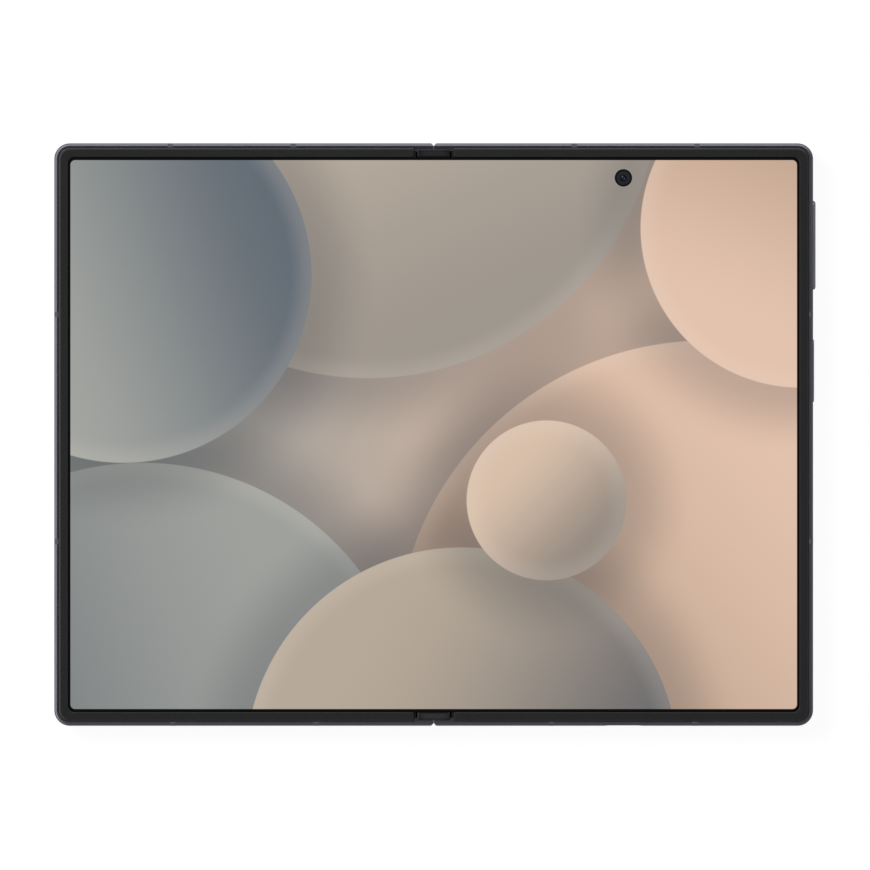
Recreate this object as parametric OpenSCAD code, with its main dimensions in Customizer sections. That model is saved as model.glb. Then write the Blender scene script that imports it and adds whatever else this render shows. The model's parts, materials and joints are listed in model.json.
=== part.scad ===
// Foldable phone that opens like a book.
// +X runs across the open phone, +Y along the hinge, +Z out of the inner screen.
// The hinge line lies over the origin, and z = 0 is the lowest face of the rear camera rings.
// Every sub-part is drawn from the back face upwards and lifted by on_rings().
// The right half carries the cameras, the left half the cover screen.

/* [Body] */
// Height of the phone along the hinge
body_h = 123.9; // [118:0.1:150]
// Width of one half, from the hinge line to its outer side
half_w = 80.7; // [79:0.1:98]
// Thickness of the open phone, from the back face to the top of the bezel
body_t = 4.9; // [4.9:0.05:6]
// Radius of the four outer corners
corner_r = 3.3; // [3:0.1:6]
// Depth of the side wall of the metal frame
rail_wall = 1.6; // [1.4:0.1:2.2]
// Thickness of the rear glass and of the cover glass
glass_t = 0.5; // [0.4:0.05:0.6]
// Width of one antenna break
band_w = 1.1; // [0.8:0.1:1.6]

/* [Inner screen] */
// Width of the frame's edge outside the bezel
rail_show = 0.85; // [0.7:0.05:1.1]
// Width of the plastic bezel
bezel_w = 2.05; // [1.6:0.05:2.4]
// Height of the bezel above the screen
bezel_rise = 0.25; // [0.2:0.05:0.35]
// Thickness of the flexible display panel
panel_t = 0.4; // [0.3:0.05:0.45]
// Thickness of the plate that stiffens the panel
plate_t = 0.2; // [0.15:0.05:0.25]
// Length of each side of the fold zone
fold_zone = 4.4; // [4:0.1:5]
// Diameter of the inner camera's hole in the panel
punch_d = 3.65; // [3:0.05:4.5]

/* [Hinge] */
// Gap between the two bezels when the phone is shut
fold_gap = 0.1; // [0.1:0.05:0.4]
// Radial gap between the halves and the spine
spine_gap = 0.1; // [0.08:0.02:0.2]
// Wall of the spine cover
spine_wall = 0.5; // [0.4:0.05:0.6]
// Thickness of the curved tongues that carry the halves
tongue_t = 0.6; // [0.5:0.05:0.7]
// Width of one curved tongue
tongue_w = 4; // [3:0.5:5]
// Running clearance of the tongues in their curved slots
run_fit = 0.08; // [0.04:0.01:0.1]
// Distance of the hinge modules from the middle of the phone
module_y = 42; // [36:0.5:46]
// Thickness of the swinging wing plates
wing_t = 0.3; // [0.2:0.05:0.3]
// Length of a wing plate across the hinge
wing_len = 9.4; // [8:0.1:10]

/* [Rear cameras] */
// Height of the lens rings above the rear glass
island_h = 2.2; // [1.5:0.1:3]
// Width of the camera island
island_w = 18; // [16:0.5:20]
// Length of the camera island
island_len = 38; // [34:0.5:42]
// Radius of a lens ring
ring_r = 6.6; // [6:0.1:7.5]
// Radius of a lens window
window_r = 5.2; // [4.6:0.1:5.6]

/* [Keys and ports] */
// Length of the volume key
volume_len = 18.95; // [14:0.05:22]
// Height of the volume key above the frame
volume_rise = 0.5; // [0.3:0.05:0.7]
// Length of the side key
side_len = 13.4; // [10:0.1:16]
// Height of the side key above the frame
side_rise = 0.18; // [0.1:0.02:0.4]
// Width of both keys across the frame
key_w = 1.9; // [1.5:0.1:2.2]
// Clearance round keys and tray
key_gap = 0.1; // [0.05:0.01:0.15]
// Width of the charging port's opening in the frame
port_w = 9; // [8.9:0.05:9.4]
// Height of the charging port's opening in the frame
port_h = 3.2; // [3.1:0.02:3.3]
// Width of the card tray
tray_w = 15; // [13:0.5:17]
// Thickness of the card tray's head
tray_t = 1.6; // [1.4:0.1:2]

/* [Battery and boards] */
// Length of the right battery along the hinge
battery_len = 64; // [50:1:66]
// Width of both batteries across the half
battery_w = 60; // [45:1:61]
// Clearance round the parts inside
bay_gap = 0.3; // [0.2:0.05:0.6]

/* [Hidden] */
$fn = 48;
eps = 0.01;
sides = [1, -1];

// Levels, all counted from the back face
screen_z = body_t - bezel_rise;
bezel_z = screen_z + 0.02;
panel_z = screen_z - panel_t;
plate_z = panel_z - plate_t;
glue_t = 0.05;
mid_t = 0.6;
mid_z = plate_z - glue_t - mid_t;
bay_floor = glass_t + 2 * glue_t;
bay_top = mid_z - 3 * glue_t;

// Fold axes: one for each half, in the middle of the panel's thickness
axis_z = screen_z - panel_t / 2;
axis_x = body_t - axis_z + fold_gap / 2;
half_gap = axis_x - (body_t - axis_z);
spine_r = axis_z - glass_t - spine_gap;
free_r = spine_r + spine_gap;

// Ends of the hinge and the notch in the bezel above it
end_wall = 1.2;
end_gap = 0.1;
cap_inset = 2.94;
cap_half = 3.45;
notch_half = 4.26;
bezel_lap = 0.6;
notch_wall_y = body_h / 2 - end_wall;
spine_y = notch_wall_y - end_gap;
cap_in_y = body_h / 2 - cap_inset;
panel_edge = rail_show + bezel_w - bezel_lap;
fold_y = cap_in_y - glue_t;

// Wing plates and the spine's rim under them
wing_z = panel_z - glue_t - wing_t;
rim_z = wing_z - 0.1;
wing_in = 1.6;
wing_pin_r = 0.25;
wing_seat = 0.06;
wing_pin_x = wing_in + wing_len;
wing_pin_z = wing_z + wing_t - wing_pin_r;
wing_y = fold_y - 0.4;
mid_in = wing_pin_x - 0.1;

// Curved tongues
slot_wall = 0.42;
arm_t = 0.8;
block_r = spine_r - spine_wall - glue_t;
tongue_out = block_r - slot_wall - run_fit;
tongue_in = tongue_out - tongue_t;
arm_top = wing_z - glue_t;
arm_low = arm_top - arm_t;
block_top = rim_z - 0.15;

// Hinge module layout, along the hinge from the module's middle
module_half = 9.5;
tongue_y = 5.5;
gear_y0 = -2.6;
gear_w = 2.4;
hub_w = 2.4;
bore_fit = 0.03;
shaft_r = 0.28;

// Timing gears: the largest pitch radius, in steps of 0.01, whose four gears fit the spine
gear_step = 0.01;
tooth_h = 0.13;
gear_room = (block_r + sqrt(2) * axis_x + 0.06 - tooth_h) / (3 * sqrt(2) + 1);
gear_r = floor(gear_room / gear_step) * gear_step;
gear_x = 3 * gear_r;
gear_z = axis_z - (gear_x - axis_x);
teeth = 10;
tip_r = gear_r + tooth_h;
root_r = gear_r - 0.19;
tooth_root = 0.11;
tooth_tip = 0.05;

// Brackets that join the tongues to the mid plates, and the sync arms in them
bracket_gap = 0.65;
bracket_len = 8.5;
sync_reach = 4.5;
bracket_in = axis_x + free_r + bracket_gap;
bracket_out = bracket_in + bracket_len;
bracket_z = glass_t + 0.15;
bracket_top = mid_z;
sync_low = gear_z - 0.4;
sync_top = gear_z + 0.35;
sync_end = bracket_in + sync_reach;
sync_dip = 0.42 * (gear_x - axis_x);
screw_r = 0.5;
screw_head_r = 0.95;
screw_head_t = 0.2;
screw_x = bracket_out - 1;
screw_rows = [-7, 0, 7];
hub_mid = gear_y0 + gear_w + 0.1 + hub_w / 2;

// Flex cables across the hinge
flex_y = 13;
flex_w = 8;
flex_t = 0.1;
flex_z = wing_z - 0.15;

// Places on the halves
half_mid = half_w / 2;
glass_in = half_gap + 1.55;
glass_edge = rail_show + 0.05;
glass_top = glass_t - 0.02;
camera_inset = 7.35;
camera_y = body_h / 2 - camera_inset;
cover_camera_y = camera_y - 2;
volume_y = 40.3;
side_y = 13.6;
key_z = body_t / 2;
key_depth = 1.35;
key_reach = 0.2;
switch_gap = 0.15;
pivot_r = 0.3;
port_z = glass_t + 0.2 + port_h / 2;
port_len = 7.35;
port_side = half_mid + port_w / 2;
tray_x = 40;
tray_z = 2.3;
tray_len = 18;
island_x = half_w - 13.5;
island_y = body_h / 2 - 4 - island_len / 2;
lens_step = island_len / 2 - island_w / 2;
flash_r = 1.6;
window_t = 0.5;
bay_in = bracket_out + 0.4;
cell_in = bay_in + 2.5;
bay_y = body_h / 2 - rail_wall - bay_gap;
board_t = 0.6;
board_z = bay_floor + 0.5;
board_top = board_z + board_t;
board_w = 45;
main_y0 = bay_y - 35.5;
port_board_y = -bay_y + 13.5;
card_board_y = -bay_y + 24;
cover_bay_z = glass_t + 0.5;
camera_box = 7.2;
camera_module_w = 12;
switch_step = 5.5;
top_bands = [29.9, 56];
right_low_bands = [25.1, 55.5];
left_low_bands = [25, 55.5];
side_bands = [25.56, -22.76];
speaker_x = 49.6;
speaker_holes = 5;
speaker_pitch = 1.25;
earpiece_holes = 6;
earpiece_pitch = 1.5;

switch_places = [volume_y - switch_step, volume_y + switch_step, side_y];
switch_x = half_w - rail_wall - switch_gap;
gear_places = [for (i = [-3, -1, 1, 3]) i * gear_r];

function corner(inset) = max(corner_r - inset, 0.4);

module on_rings() { translate([0, 0, island_h]) children(); }
module on_left() { mirror([1, 0, 0]) children(); }

// Box from two opposite corners
module box(low, high) { translate(low) cube(high - low); }

// Rod along the hinge direction
module rod(x, z, r, y0, y1) {
    translate([x, y1, z]) rotate([90, 0, 0]) cylinder(r = r, h = y1 - y0);
}

// Outline of a half, set in from the frame's outside by inset, with round outer corners
module half_outline(x0, inset, r) {
    x1 = half_w - inset;
    y1 = body_h / 2 - inset;
    translate([x0, -y1]) square([x1 - r - x0, 2 * y1]);
    translate([x0, r - y1]) square([x1 - x0, 2 * (y1 - r)]);
    for (s = sides) translate([x1 - r, s * (y1 - r)]) circle(r);
}

module half_slab(x0, inset, z0, z1) {
    translate([0, 0, z0]) linear_extrude(z1 - z0) half_outline(x0, inset, corner(inset));
}

module rounded(w, h, r) {
    square([w - 2 * r, h], center = true);
    square([w, h - 2 * r], center = true);
    for (x = sides, y = sides) translate([x * (w / 2 - r), y * (h / 2 - r)]) circle(r);
}

module pill(w, len, z0, z1) {
    translate([0, 0, z0]) linear_extrude(z1 - z0) {
        square([w, len - w], center = true);
        for (s = sides) translate([0, s * (len - w) / 2]) circle(w / 2);
    }
}

// Sweeps a profile of (distance from the edge, height) round the three outer sides of a half
module round_half(x0) {
    straight_x = half_w - corner_r - x0;
    straight_y = body_h - 2 * corner_r;
    translate([half_w, straight_y / 2, 0]) rotate([90, 0, 0])
        linear_extrude(straight_y) mirror([1, 0]) children();
    translate([x0, body_h / 2, 0]) rotate([90, 0, 90])
        linear_extrude(straight_x) mirror([1, 0]) children();
    translate([x0, -body_h / 2, 0]) rotate([90, 0, 90]) linear_extrude(straight_x) children();
    translate([half_w - corner_r, body_h / 2 - corner_r, 0])
        rotate_extrude(angle = 90) translate([corner_r, 0]) mirror([1, 0]) children();
    translate([half_w - corner_r, corner_r - body_h / 2, 0]) rotate([0, 0, -90])
        rotate_extrude(angle = 90) translate([corner_r, 0]) mirror([1, 0]) children();
}

// Section of the frame's side wall: round edges outside, ledges for glass and bezel inside
module rail_section() {
    top = body_t - 0.2;
    r_top = 0.5;
    r_low = 0.8;
    low = 0.05;
    translate([0, low + r_low]) square([rail_show, top - r_top - low - r_low]);
    translate([r_top, top - r_top - eps]) square([rail_show - r_top, r_top + eps]);
    translate([r_low, low]) square([rail_show + eps - r_low, r_low + eps]);
    translate([rail_show - eps, glass_t]) square([rail_wall - rail_show + eps, plate_z - glass_t]);
    intersection() {
        translate([r_top, top - r_top]) circle(r_top);
        translate([0, top - r_top - eps]) square(r_top + eps);
    }
    intersection() {
        translate([r_low, low + r_low]) circle(r_low);
        translate([0, low]) square(r_low + eps);
    }
}

// Section of the bezel: sloped outside, flat top, round inner lip over the panel's edge
module bezel_section() {
    d0 = rail_show + 0.03;
    d1 = rail_show + bezel_w;
    lip = 0.2;
    slope_w = 0.55;
    slope_h = 0.3;
    foot = panel_edge - 0.1;
    polygon([[d0, plate_z + glue_t], [foot, plate_z + glue_t], [foot, bezel_z], [d1, bezel_z],
        [d1, bezel_z + 0.02], [d1 - lip, body_t], [d0 + slope_w, body_t], [d0, body_t - slope_h]]);
}

// Room that the spine takes beside a half, and the notch over it
module spine_room() {
    rod(axis_x, axis_z, free_r, -notch_wall_y, notch_wall_y);
    box([-eps, -notch_wall_y, axis_z - end_wall], [axis_x, notch_wall_y, body_t + 1]);
}

// Round ends of the frame where the two halves meet
module end_rounding() {
    lip_r = 0.6;
    for (s = sides) scale([1, s, 1]) difference() {
        box([half_gap - 1, body_h / 2 - lip_r, -1], [half_gap + lip_r, body_h / 2 + 1, body_t + 1]);
        translate([half_gap + lip_r, body_h / 2 - lip_r, -2]) cylinder(r = lip_r, h = body_t + 4);
    }
    difference() {
        box([half_gap - 1, -body_h, axis_z], [axis_x, body_h, body_t + 1]);
        rod(axis_x, axis_z, axis_x - half_gap, -body_h - 1, body_h + 1);
    }
}

module antenna_room(top_x, low_x) {
    depth = 1.0;
    for (x = top_x) box([x - band_w / 2, body_h / 2 - depth, -1], [x + band_w / 2, body_h, body_t + 1]);
    for (x = low_x)
        box([x - band_w / 2, -body_h, -1], [x + band_w / 2, depth - body_h / 2, body_t + 1]);
    for (y = side_bands)
        box([half_w - depth, y - band_w / 2, -1], [half_w + 1, y + band_w / 2, body_t + 1]);
}

// Frame of one half with the room for hinge, brackets and flex already taken out
module frame_blank(top_x, low_x) {
    lap = 0.2;
    ledge = 1.5;
    difference() {
        union() {
            round_half(half_gap) rail_section();
            half_slab(mid_in, rail_wall - lap, mid_z, mid_z + mid_t);
            box([half_gap, -notch_wall_y - lap, 0.02], [half_gap + ledge, notch_wall_y + lap, glass_t]);
        }
        spine_room();
        end_rounding();
        antenna_room(top_x, low_x);
        rod(wing_pin_x, wing_pin_z, wing_pin_r + wing_seat, -wing_y - lap, wing_y + lap);
        flex_slot();
        screw_holes();
    }
}

module screw_holes() {
    play = 0.1;
    head_z = mid_z + mid_t - screw_head_t - glue_t;
    for (s = sides, y = screw_rows) translate([screw_x, s * module_y + y, 0]) {
        translate([0, 0, mid_z - 1]) cylinder(r = screw_r + play, h = mid_t + 2);
        translate([0, 0, head_z]) cylinder(r = screw_head_r + play, h = 2);
    }
}

module flex_slot() {
    half = flex_w / 2 + 0.3;
    slot_len = 4.2;
    for (s = sides) box([mid_in - 1, s * flex_y - half, mid_z - 1],
        [mid_in - 1 + slot_len, s * flex_y + half, plate_z + 1]);
}

module frame_right() { color([0.37, 0.38, 0.41]) on_rings() difference() {
    frame_blank(top_bands, right_low_bands);
    key_room(volume_y, volume_len);
    key_room(side_y, side_len);
    translate([half_mid, 0, 0]) camera_room();
    translate([half_mid, port_len + 0.5 - body_h / 2, port_z]) rotate([90, 0, 0])
        linear_extrude(port_len + 1.5) rounded(port_w, port_h, port_h / 2 - 0.02);
    for (i = [1:speaker_holes])
        translate([speaker_x + (i - (speaker_holes + 1) / 2) * speaker_pitch,
            -body_h / 2 + rail_wall + 1, key_z])
                rotate([90, 0, 0]) cylinder(r = 0.4, h = rail_wall + 2);
} }

module camera_room() {
    box([-camera_box / 2, camera_y - camera_box / 2, bay_floor],
        [camera_box / 2, camera_y + camera_box / 2, plate_z + 0.1]);
}

module key_room(y, len) {
    translate([half_w - rail_wall - 1, y, key_z]) rotate([0, 90, 0])
        linear_extrude(rail_wall + 2) rounded(key_w + 2 * key_gap, len + 2 * key_gap, key_w / 2);
}

module frame_left() { color([0.37, 0.38, 0.41]) on_rings() on_left() difference() {
    frame_blank(top_bands, left_low_bands);
    translate([tray_x, -body_h / 2 + rail_wall + 1, tray_z]) rotate([90, 0, 0])
        linear_extrude(rail_wall + 2) rounded(tray_w + 2 * key_gap, tray_t + 2 * key_gap, tray_t / 2);
    for (i = [1:earpiece_holes])
        translate([half_mid + (i - (earpiece_holes + 1) / 2) * earpiece_pitch, body_h / 2 + 1, 2.2])
            rotate([90, 0, 0]) cylinder(r = 0.35, h = rail_wall + 2);
} }

module antenna_bands_right() { color([0.29, 0.3, 0.33]) on_rings() intersection() {
    round_half(half_gap) rail_section();
    antenna_room(top_bands, right_low_bands);
} }

module antenna_bands_left() { color([0.29, 0.3, 0.33]) on_rings() on_left() intersection() {
    round_half(half_gap) rail_section();
    antenna_room(top_bands, left_low_bands);
} }

module rear_glass() { color([0.3, 0.31, 0.34]) on_rings() difference() {
    half_slab(glass_in, glass_edge, 0, glass_top);
    translate([island_x, island_y, 0]) pill(island_w - 2, island_len - 2, -1, 1);
} }

module cover_glass() { color([0.05, 0.05, 0.06]) on_rings() on_left()
    half_slab(glass_in, glass_edge, 0, glass_top);
}

module cover_display() { color([0.1, 0.1, 0.12]) on_rings() on_left() difference() {
    translate([0, 0, glass_t]) linear_extrude(0.4)
        half_outline(bracket_out + 0.3, rail_wall + 0.2, 1.5);
    translate([half_mid, cover_camera_y, 0]) cylinder(r = 2.4, h = 3);
} }

module bezel_half() {
    difference() {
        union() {
            round_half(notch_half) bezel_section();
            inner_corners();
        }
        for (s = sides) scale([1, s, 1]) notch_rounding();
    }
}

// Round inner corners of the bezel over the panel's corners
module inner_corners() {
    inset = rail_show + bezel_w;
    r = 1.4;
    x1 = half_w - inset;
    y1 = body_h / 2 - inset;
    for (s = sides) scale([1, s, 1]) difference() {
        box([x1 - r, y1 - r, bezel_z], [x1 + 0.3, y1 + 0.3, body_t - 0.02]);
        translate([x1 - r, y1 - r, 0]) cylinder(r = r, h = 2 * body_t);
    }
}

module notch_rounding() {
    r = 0.35;
    d1 = body_h / 2 - rail_show - bezel_w;
    difference() {
        box([notch_half - 1, d1 - 1, -1], [notch_half + r, d1 + r, body_t + 1]);
        translate([notch_half + r, d1 + r, -2]) cylinder(r = r, h = body_t + 4);
    }
}

module bezel_right() { color([0.15, 0.15, 0.16]) on_rings() bezel_half(); }
module bezel_left() { color([0.15, 0.15, 0.16]) on_rings() on_left() bezel_half(); }

module panel_half() { half_slab(fold_zone + 0.1, panel_edge, panel_z, screen_z); }

module display_panel_right() { color([0.85, 0.73, 0.64]) on_rings() difference() {
    panel_half();
    translate([half_mid, camera_y, 0]) cylinder(d = punch_d, h = 2 * body_t);
} }

module display_panel_left() { color([0.58, 0.58, 0.57]) on_rings() on_left() panel_half(); }

module plate_half() { half_slab(wing_pin_x + 0.5, panel_edge, plate_z, panel_z); }

module display_plate_right() { color([0.5, 0.5, 0.52]) on_rings() difference() {
    plate_half();
    translate([half_mid, camera_y, 0]) cylinder(d = punch_d + 0.3, h = 2 * body_t);
} }

module display_plate_left() { color([0.5, 0.5, 0.52]) on_rings() on_left() plate_half(); }

module fold_half() { box([0.02, -fold_y, panel_z], [fold_zone, fold_y, screen_z]); }

module display_fold_right() { color([0.8, 0.7, 0.62]) on_rings() fold_half(); }
module display_fold_left() { color([0.6, 0.6, 0.58]) on_rings() on_left() fold_half(); }

// Trough section of the spine: two arcs about the fold axes, cut off at height top
module trough(r, top) {
    intersection() {
        union() {
            for (s = sides) translate([s * axis_x, axis_z]) circle(r);
            translate([-axis_x, axis_z - r]) square([2 * axis_x, r]);
        }
        translate([-2 * r, 0]) square([4 * r, top]);
    }
}

module along_hinge(y0, y1) {
    translate([0, y1, 0]) rotate([90, 0, 0]) linear_extrude(y1 - y0) children();
}

module hinge_spine() { color([0.2, 0.21, 0.24]) on_rings() difference() {
    along_hinge(-spine_y, spine_y) trough(spine_r, rim_z);
    along_hinge(-spine_y + spine_wall, spine_y - spine_wall) trough(spine_r - spine_wall, body_t);
    for (s = sides, m = sides) {
        arm_notch(s, m * module_y + s * tongue_y, tongue_w, arm_low);
        arm_notch(s, m * module_y + hub_mid, hub_w, arm_low);
    }
    for (m = sides) box([-10, m * flex_y - flex_w / 2 - 0.2, rim_z - 0.3],
        [10, m * flex_y + flex_w / 2 + 0.2, body_t]);
} }

module arm_notch(s, y, w, z) {
    gap = 0.15;
    scale([s, 1, 1]) box([1.5, y - w / 2 - gap, z - gap], [6, y + w / 2 + gap, body_t]);
}

// One block per module: curved slots for the tongues and a bay for the gears
module hinge_blocks() { color([0.55, 0.56, 0.58]) on_rings() for (m = sides) difference() {
    along_hinge(m * module_y - module_half, m * module_y + module_half)
        trough(block_r, block_top);
    for (s = sides) {
        tongue_slot(s, m * module_y + s * tongue_y);
        arm_notch(s, m * module_y + s * tongue_y, tongue_w, arm_low);
    }
    gear_bay(m * module_y + gear_y0 - 0.1, m * module_y + gear_y0 + gear_w + hub_w + 0.2);
    for (x = gear_places) rod(x, gear_z, shaft_r + bore_fit, m * module_y + gear_y0 - 1,
        m * module_y + gear_y0 + gear_w + hub_w + 1.1);
} }

module gear_bay(y0, y1) {
    r = tip_r + 0.12;
    box([-gear_x - r, y0, gear_z - r], [gear_x + r, y1, body_t]);
    for (s = sides) scale([s, 1, 1]) box([gear_x, y0, gear_z - r], [6, y1, body_t]);
}

module tongue_slot(s, y) {
    w = tongue_w / 2 + 0.1;
    difference() {
        rod(s * axis_x, axis_z, tongue_out + run_fit, y - w, y + w);
        rod(s * axis_x, axis_z, tongue_in - run_fit, y - w - 1, y + w + 1);
    }
}

module gear_shafts() { color([0.75, 0.75, 0.77]) on_rings()
    for (m = sides, x = gear_places) rod(x, gear_z, shaft_r, m * module_y + gear_y0 - 0.9,
        m * module_y + gear_y0 + gear_w + hub_w + 1.0);
}

// Caps that close the ends of the hinge under the screen
module end_caps() { color([0.15, 0.15, 0.16]) on_rings() for (s = sides) scale([1, s, 1]) difference() {
    lip = 0.45;
    edge = 0.3;
    top = axis_z + glue_t;
    foot_half = cap_half - 0.45;
    union() {
        box([-foot_half, cap_in_y, rim_z - 1.2], [foot_half, spine_y - spine_wall - 0.02, top]);
        box([-cap_half, cap_in_y, rim_z + 0.02], [cap_half, spine_y, top]);
    }
    box([edge - cap_half, cap_in_y - 1, top - 0.15], [cap_half - edge, spine_y - lip, top + 1]);
} }

module hinge_flex() { color([0.75, 0.45, 0.15]) on_rings() for (s = sides)
    translate([-fold_zone, s * flex_y - flex_w / 2, flex_z]) cube([2 * fold_zone, flex_w, flex_t]);
}

// Flex on one half, from the fold zone down to the boards
module flex_half() {
    x1 = mid_in + 0.5;
    x2 = bay_in + 0.3;
    low = board_top + glue_t;
    for (s = sides) along_hinge(s * flex_y - flex_w / 2, s * flex_y + flex_w / 2) polygon([
        [x1, flex_z + flex_t], [x1, flex_z], [x2, low], [x2 + 1.6, low], [x2 + 1.6, low + flex_t],
        [x2 + flex_t, low + flex_t], [x1 + flex_t, flex_z + flex_t]]);
}

module flex_right() { color([0.75, 0.45, 0.15]) on_rings() flex_half(); }
module flex_left() { color([0.75, 0.45, 0.15]) on_rings() on_left() flex_half(); }

// Bracket pair of one half: curved tongues, arms and pockets for the sync arms
module brackets(s) {
    for (m = sides) difference() {
        union() {
            box([bracket_in, m * module_y - module_half, bracket_z],
                [bracket_out, m * module_y + module_half, bracket_top]);
            tongue(m * module_y + s * tongue_y);
        }
        sync_pocket(m * module_y + hub_mid);
        for (y = screw_rows) translate([screw_x, m * module_y + y, bracket_top - 1.2])
            cylinder(r = screw_r - 0.02, h = 2);
    }
}

module tongue(y) {
    y0 = y - tongue_w / 2;
    y1 = y + tongue_w / 2;
    end_angle = 140;
    reach = axis_z + tongue_out + 1;
    difference() {
        rod(axis_x, axis_z, tongue_out, y0, y1);
        rod(axis_x, axis_z, tongue_in, y0 - 1, y1 + 1);
        box([-reach, y0 - 1, arm_top], [reach, y1 + 1, reach]);
        translate([axis_x, 0, axis_z]) rotate([0, end_angle - 180, 0])
            box([-reach, y0 - 1, 0], [0, y1 + 1, reach]);
    }
    box([axis_x + tongue_in + 0.15, y0, arm_low], [bracket_in + 0.5, y1, arm_top]);
}

module sync_pocket(y) {
    w = hub_w / 2 + 0.15;
    low = sync_low - sync_dip - 0.15;
    box([bracket_in - 1, y - w, low], [bracket_out - 2.2, y + w, sync_top + 0.12]);
}

module hinge_brackets_right() { color([0.6, 0.61, 0.63]) on_rings() brackets(1); }
module hinge_brackets_left() { color([0.6, 0.61, 0.63]) on_rings() on_left() brackets(-1); }

module screws_half() {
    for (m = sides, y = screw_rows) translate([screw_x, m * module_y + y, 0]) {
        translate([0, 0, bracket_top - 1.1]) cylinder(r = screw_r - 0.03, h = mid_t + 1);
        translate([0, 0, mid_z + mid_t - 0.23]) cylinder(r = screw_head_r, h = 0.2);
    }
}

module bracket_screws_right() { color([0.7, 0.7, 0.72]) on_rings() screws_half(); }
module bracket_screws_left() { color([0.7, 0.7, 0.72]) on_rings() on_left() screws_half(); }

// Wing plate: a thin plate on a long round bead, with windows over the hinge modules
module wing_half() {
    difference() {
        union() {
            box([wing_in, -wing_y, wing_z], [wing_pin_x, wing_y, wing_z + wing_t]);
            rod(wing_pin_x, wing_pin_z, wing_pin_r, -wing_y, wing_y);
        }
        for (m = sides) box([wing_in - 1, m * module_y - module_half - 0.6, 0],
            [wing_pin_x - 0.9, m * module_y + module_half + 0.6, body_t]);
    }
}

module wing_plate_right() { color([0.66, 0.66, 0.68]) on_rings() wing_half(); }
module wing_plate_left() { color([0.66, 0.66, 0.68]) on_rings() on_left() wing_half(); }

module gear_outline(phase) {
    circle(root_r);
    for (i = [0:teeth - 1]) rotate(phase + i * 360 / teeth)
        polygon([[root_r - 0.1, -tooth_root], [tip_r, -tooth_tip], [tip_r, tooth_tip],
            [root_r - 0.1, tooth_root]]);
}

module gear_at(x, phase) {
    for (m = sides) translate([x, m * module_y + gear_y0 + gear_w, gear_z]) rotate([90, 0, 0])
        linear_extrude(gear_w) difference() {
            gear_outline(phase);
            circle(shaft_r + bore_fit);
        }
}

// Arm that swings with a timing gear and slides in the bracket's pocket
module sync_arm() {
    y0 = gear_y0 + gear_w;
    neck = arm_low + 0.05;
    for (m = sides) difference() {
        along_hinge(m * module_y + y0, m * module_y + y0 + hub_w) {
            translate([gear_x, gear_z]) circle(0.62);
            polygon([[gear_x - 0.1, gear_z], [gear_x + 0.5, gear_z - 0.1], [gear_x + 0.75, neck],
                [axis_x + free_r + 0.1, neck], [bracket_in - 0.1, sync_low], [sync_end, sync_low],
                [sync_end, sync_top], [bracket_in - 0.15, sync_top],
                [axis_x + free_r + 0.2, arm_top - 0.1], [gear_x + 0.3, arm_top - 0.1]]);
        }
        rod(gear_x, gear_z, shaft_r + bore_fit, m * module_y + y0 - 1, m * module_y + y0 + hub_w + 1);
    }
}

module sync_arms_right() { color([0.5, 0.5, 0.52]) on_rings() {
    gear_at(gear_x, 0);
    sync_arm();
} }

module sync_arms_left() { color([0.5, 0.5, 0.52]) on_rings() {
    gear_at(-gear_x, 180 / teeth);
    on_left() sync_arm();
} }

module idler_gears_right() { color([0.7, 0.6, 0.35]) on_rings() gear_at(gear_r, 180 / teeth); }
module idler_gears_left() { color([0.7, 0.6, 0.35]) on_rings() gear_at(-gear_r, 0); }

module cell(y0, y1, z0) {
    translate([cell_in + battery_w / 2, (y0 + y1) / 2, z0]) linear_extrude(bay_top - z0)
        rounded(battery_w, y1 - y0, 1.2);
}

module battery_right() { color([0.12, 0.12, 0.13]) on_rings() {
    y1 = island_y - lens_step - camera_module_w / 2 - bay_gap;
    cell(y1 - battery_len, y1, bay_floor);
} }

module battery_left() { color([0.12, 0.12, 0.13]) on_rings() on_left()
    cell(card_board_y + bay_gap, cover_camera_y - camera_box / 2 - bay_gap, cover_bay_z);
}

module main_board() { color([0.08, 0.25, 0.18]) on_rings() difference() {
    box([bay_in, main_y0, board_z], [bay_in + board_w, bay_y, board_top]);
    translate([half_mid, 0, 0]) scale([1.06, 1, 1]) camera_room();
    box([half_mid - 4, camera_y, 0], [half_mid + 4, body_h, body_t]);
    for (x = [bay_in + 3, bay_in + board_w - 2.4]) translate([x, main_y0 + 2.4, 0])
        cylinder(r = 0.8, h = body_t);
} }

// Shield cans, each as a place on the board, a size across it and a height
module board_shields() { color([0.72, 0.73, 0.75]) on_rings() {
    cans = [[5, 4.5, 16, 15.5, 1.2], [24, 3, board_w - 29, 19, 1], [5, 22, 13, 10, 0.9]];
    for (c = cans) translate([bay_in + c[0], main_y0 + c[1], board_top]) cube([c[2], c[3], c[4]]);
} }

module port_board() { color([0.08, 0.25, 0.18]) on_rings() difference() {
    box([bay_in + 1, -bay_y, board_z], [port_side + 2, port_board_y, board_top]);
    box([port_side - port_w - bay_gap, -body_h, 0],
        [port_side + bay_gap, port_len + 0.5 - body_h / 2, body_t]);
} }

// Shell of the charging port, closed at the back
module charging_port() { color([0.72, 0.73, 0.75]) on_rings()
    translate([half_mid, port_len - body_h / 2, port_z]) rotate([90, 0, 0]) difference() {
        wall = 0.3;
        w = port_w - 0.06;
        h = port_h - 0.04;
        linear_extrude(port_len - 0.4) rounded(w, h, h / 2 - 0.03);
        translate([0, 0, 2 * wall]) linear_extrude(port_len)
            rounded(w - 2 * wall, h - 2 * wall, h / 2 - wall - 0.03);
    }
}

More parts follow.
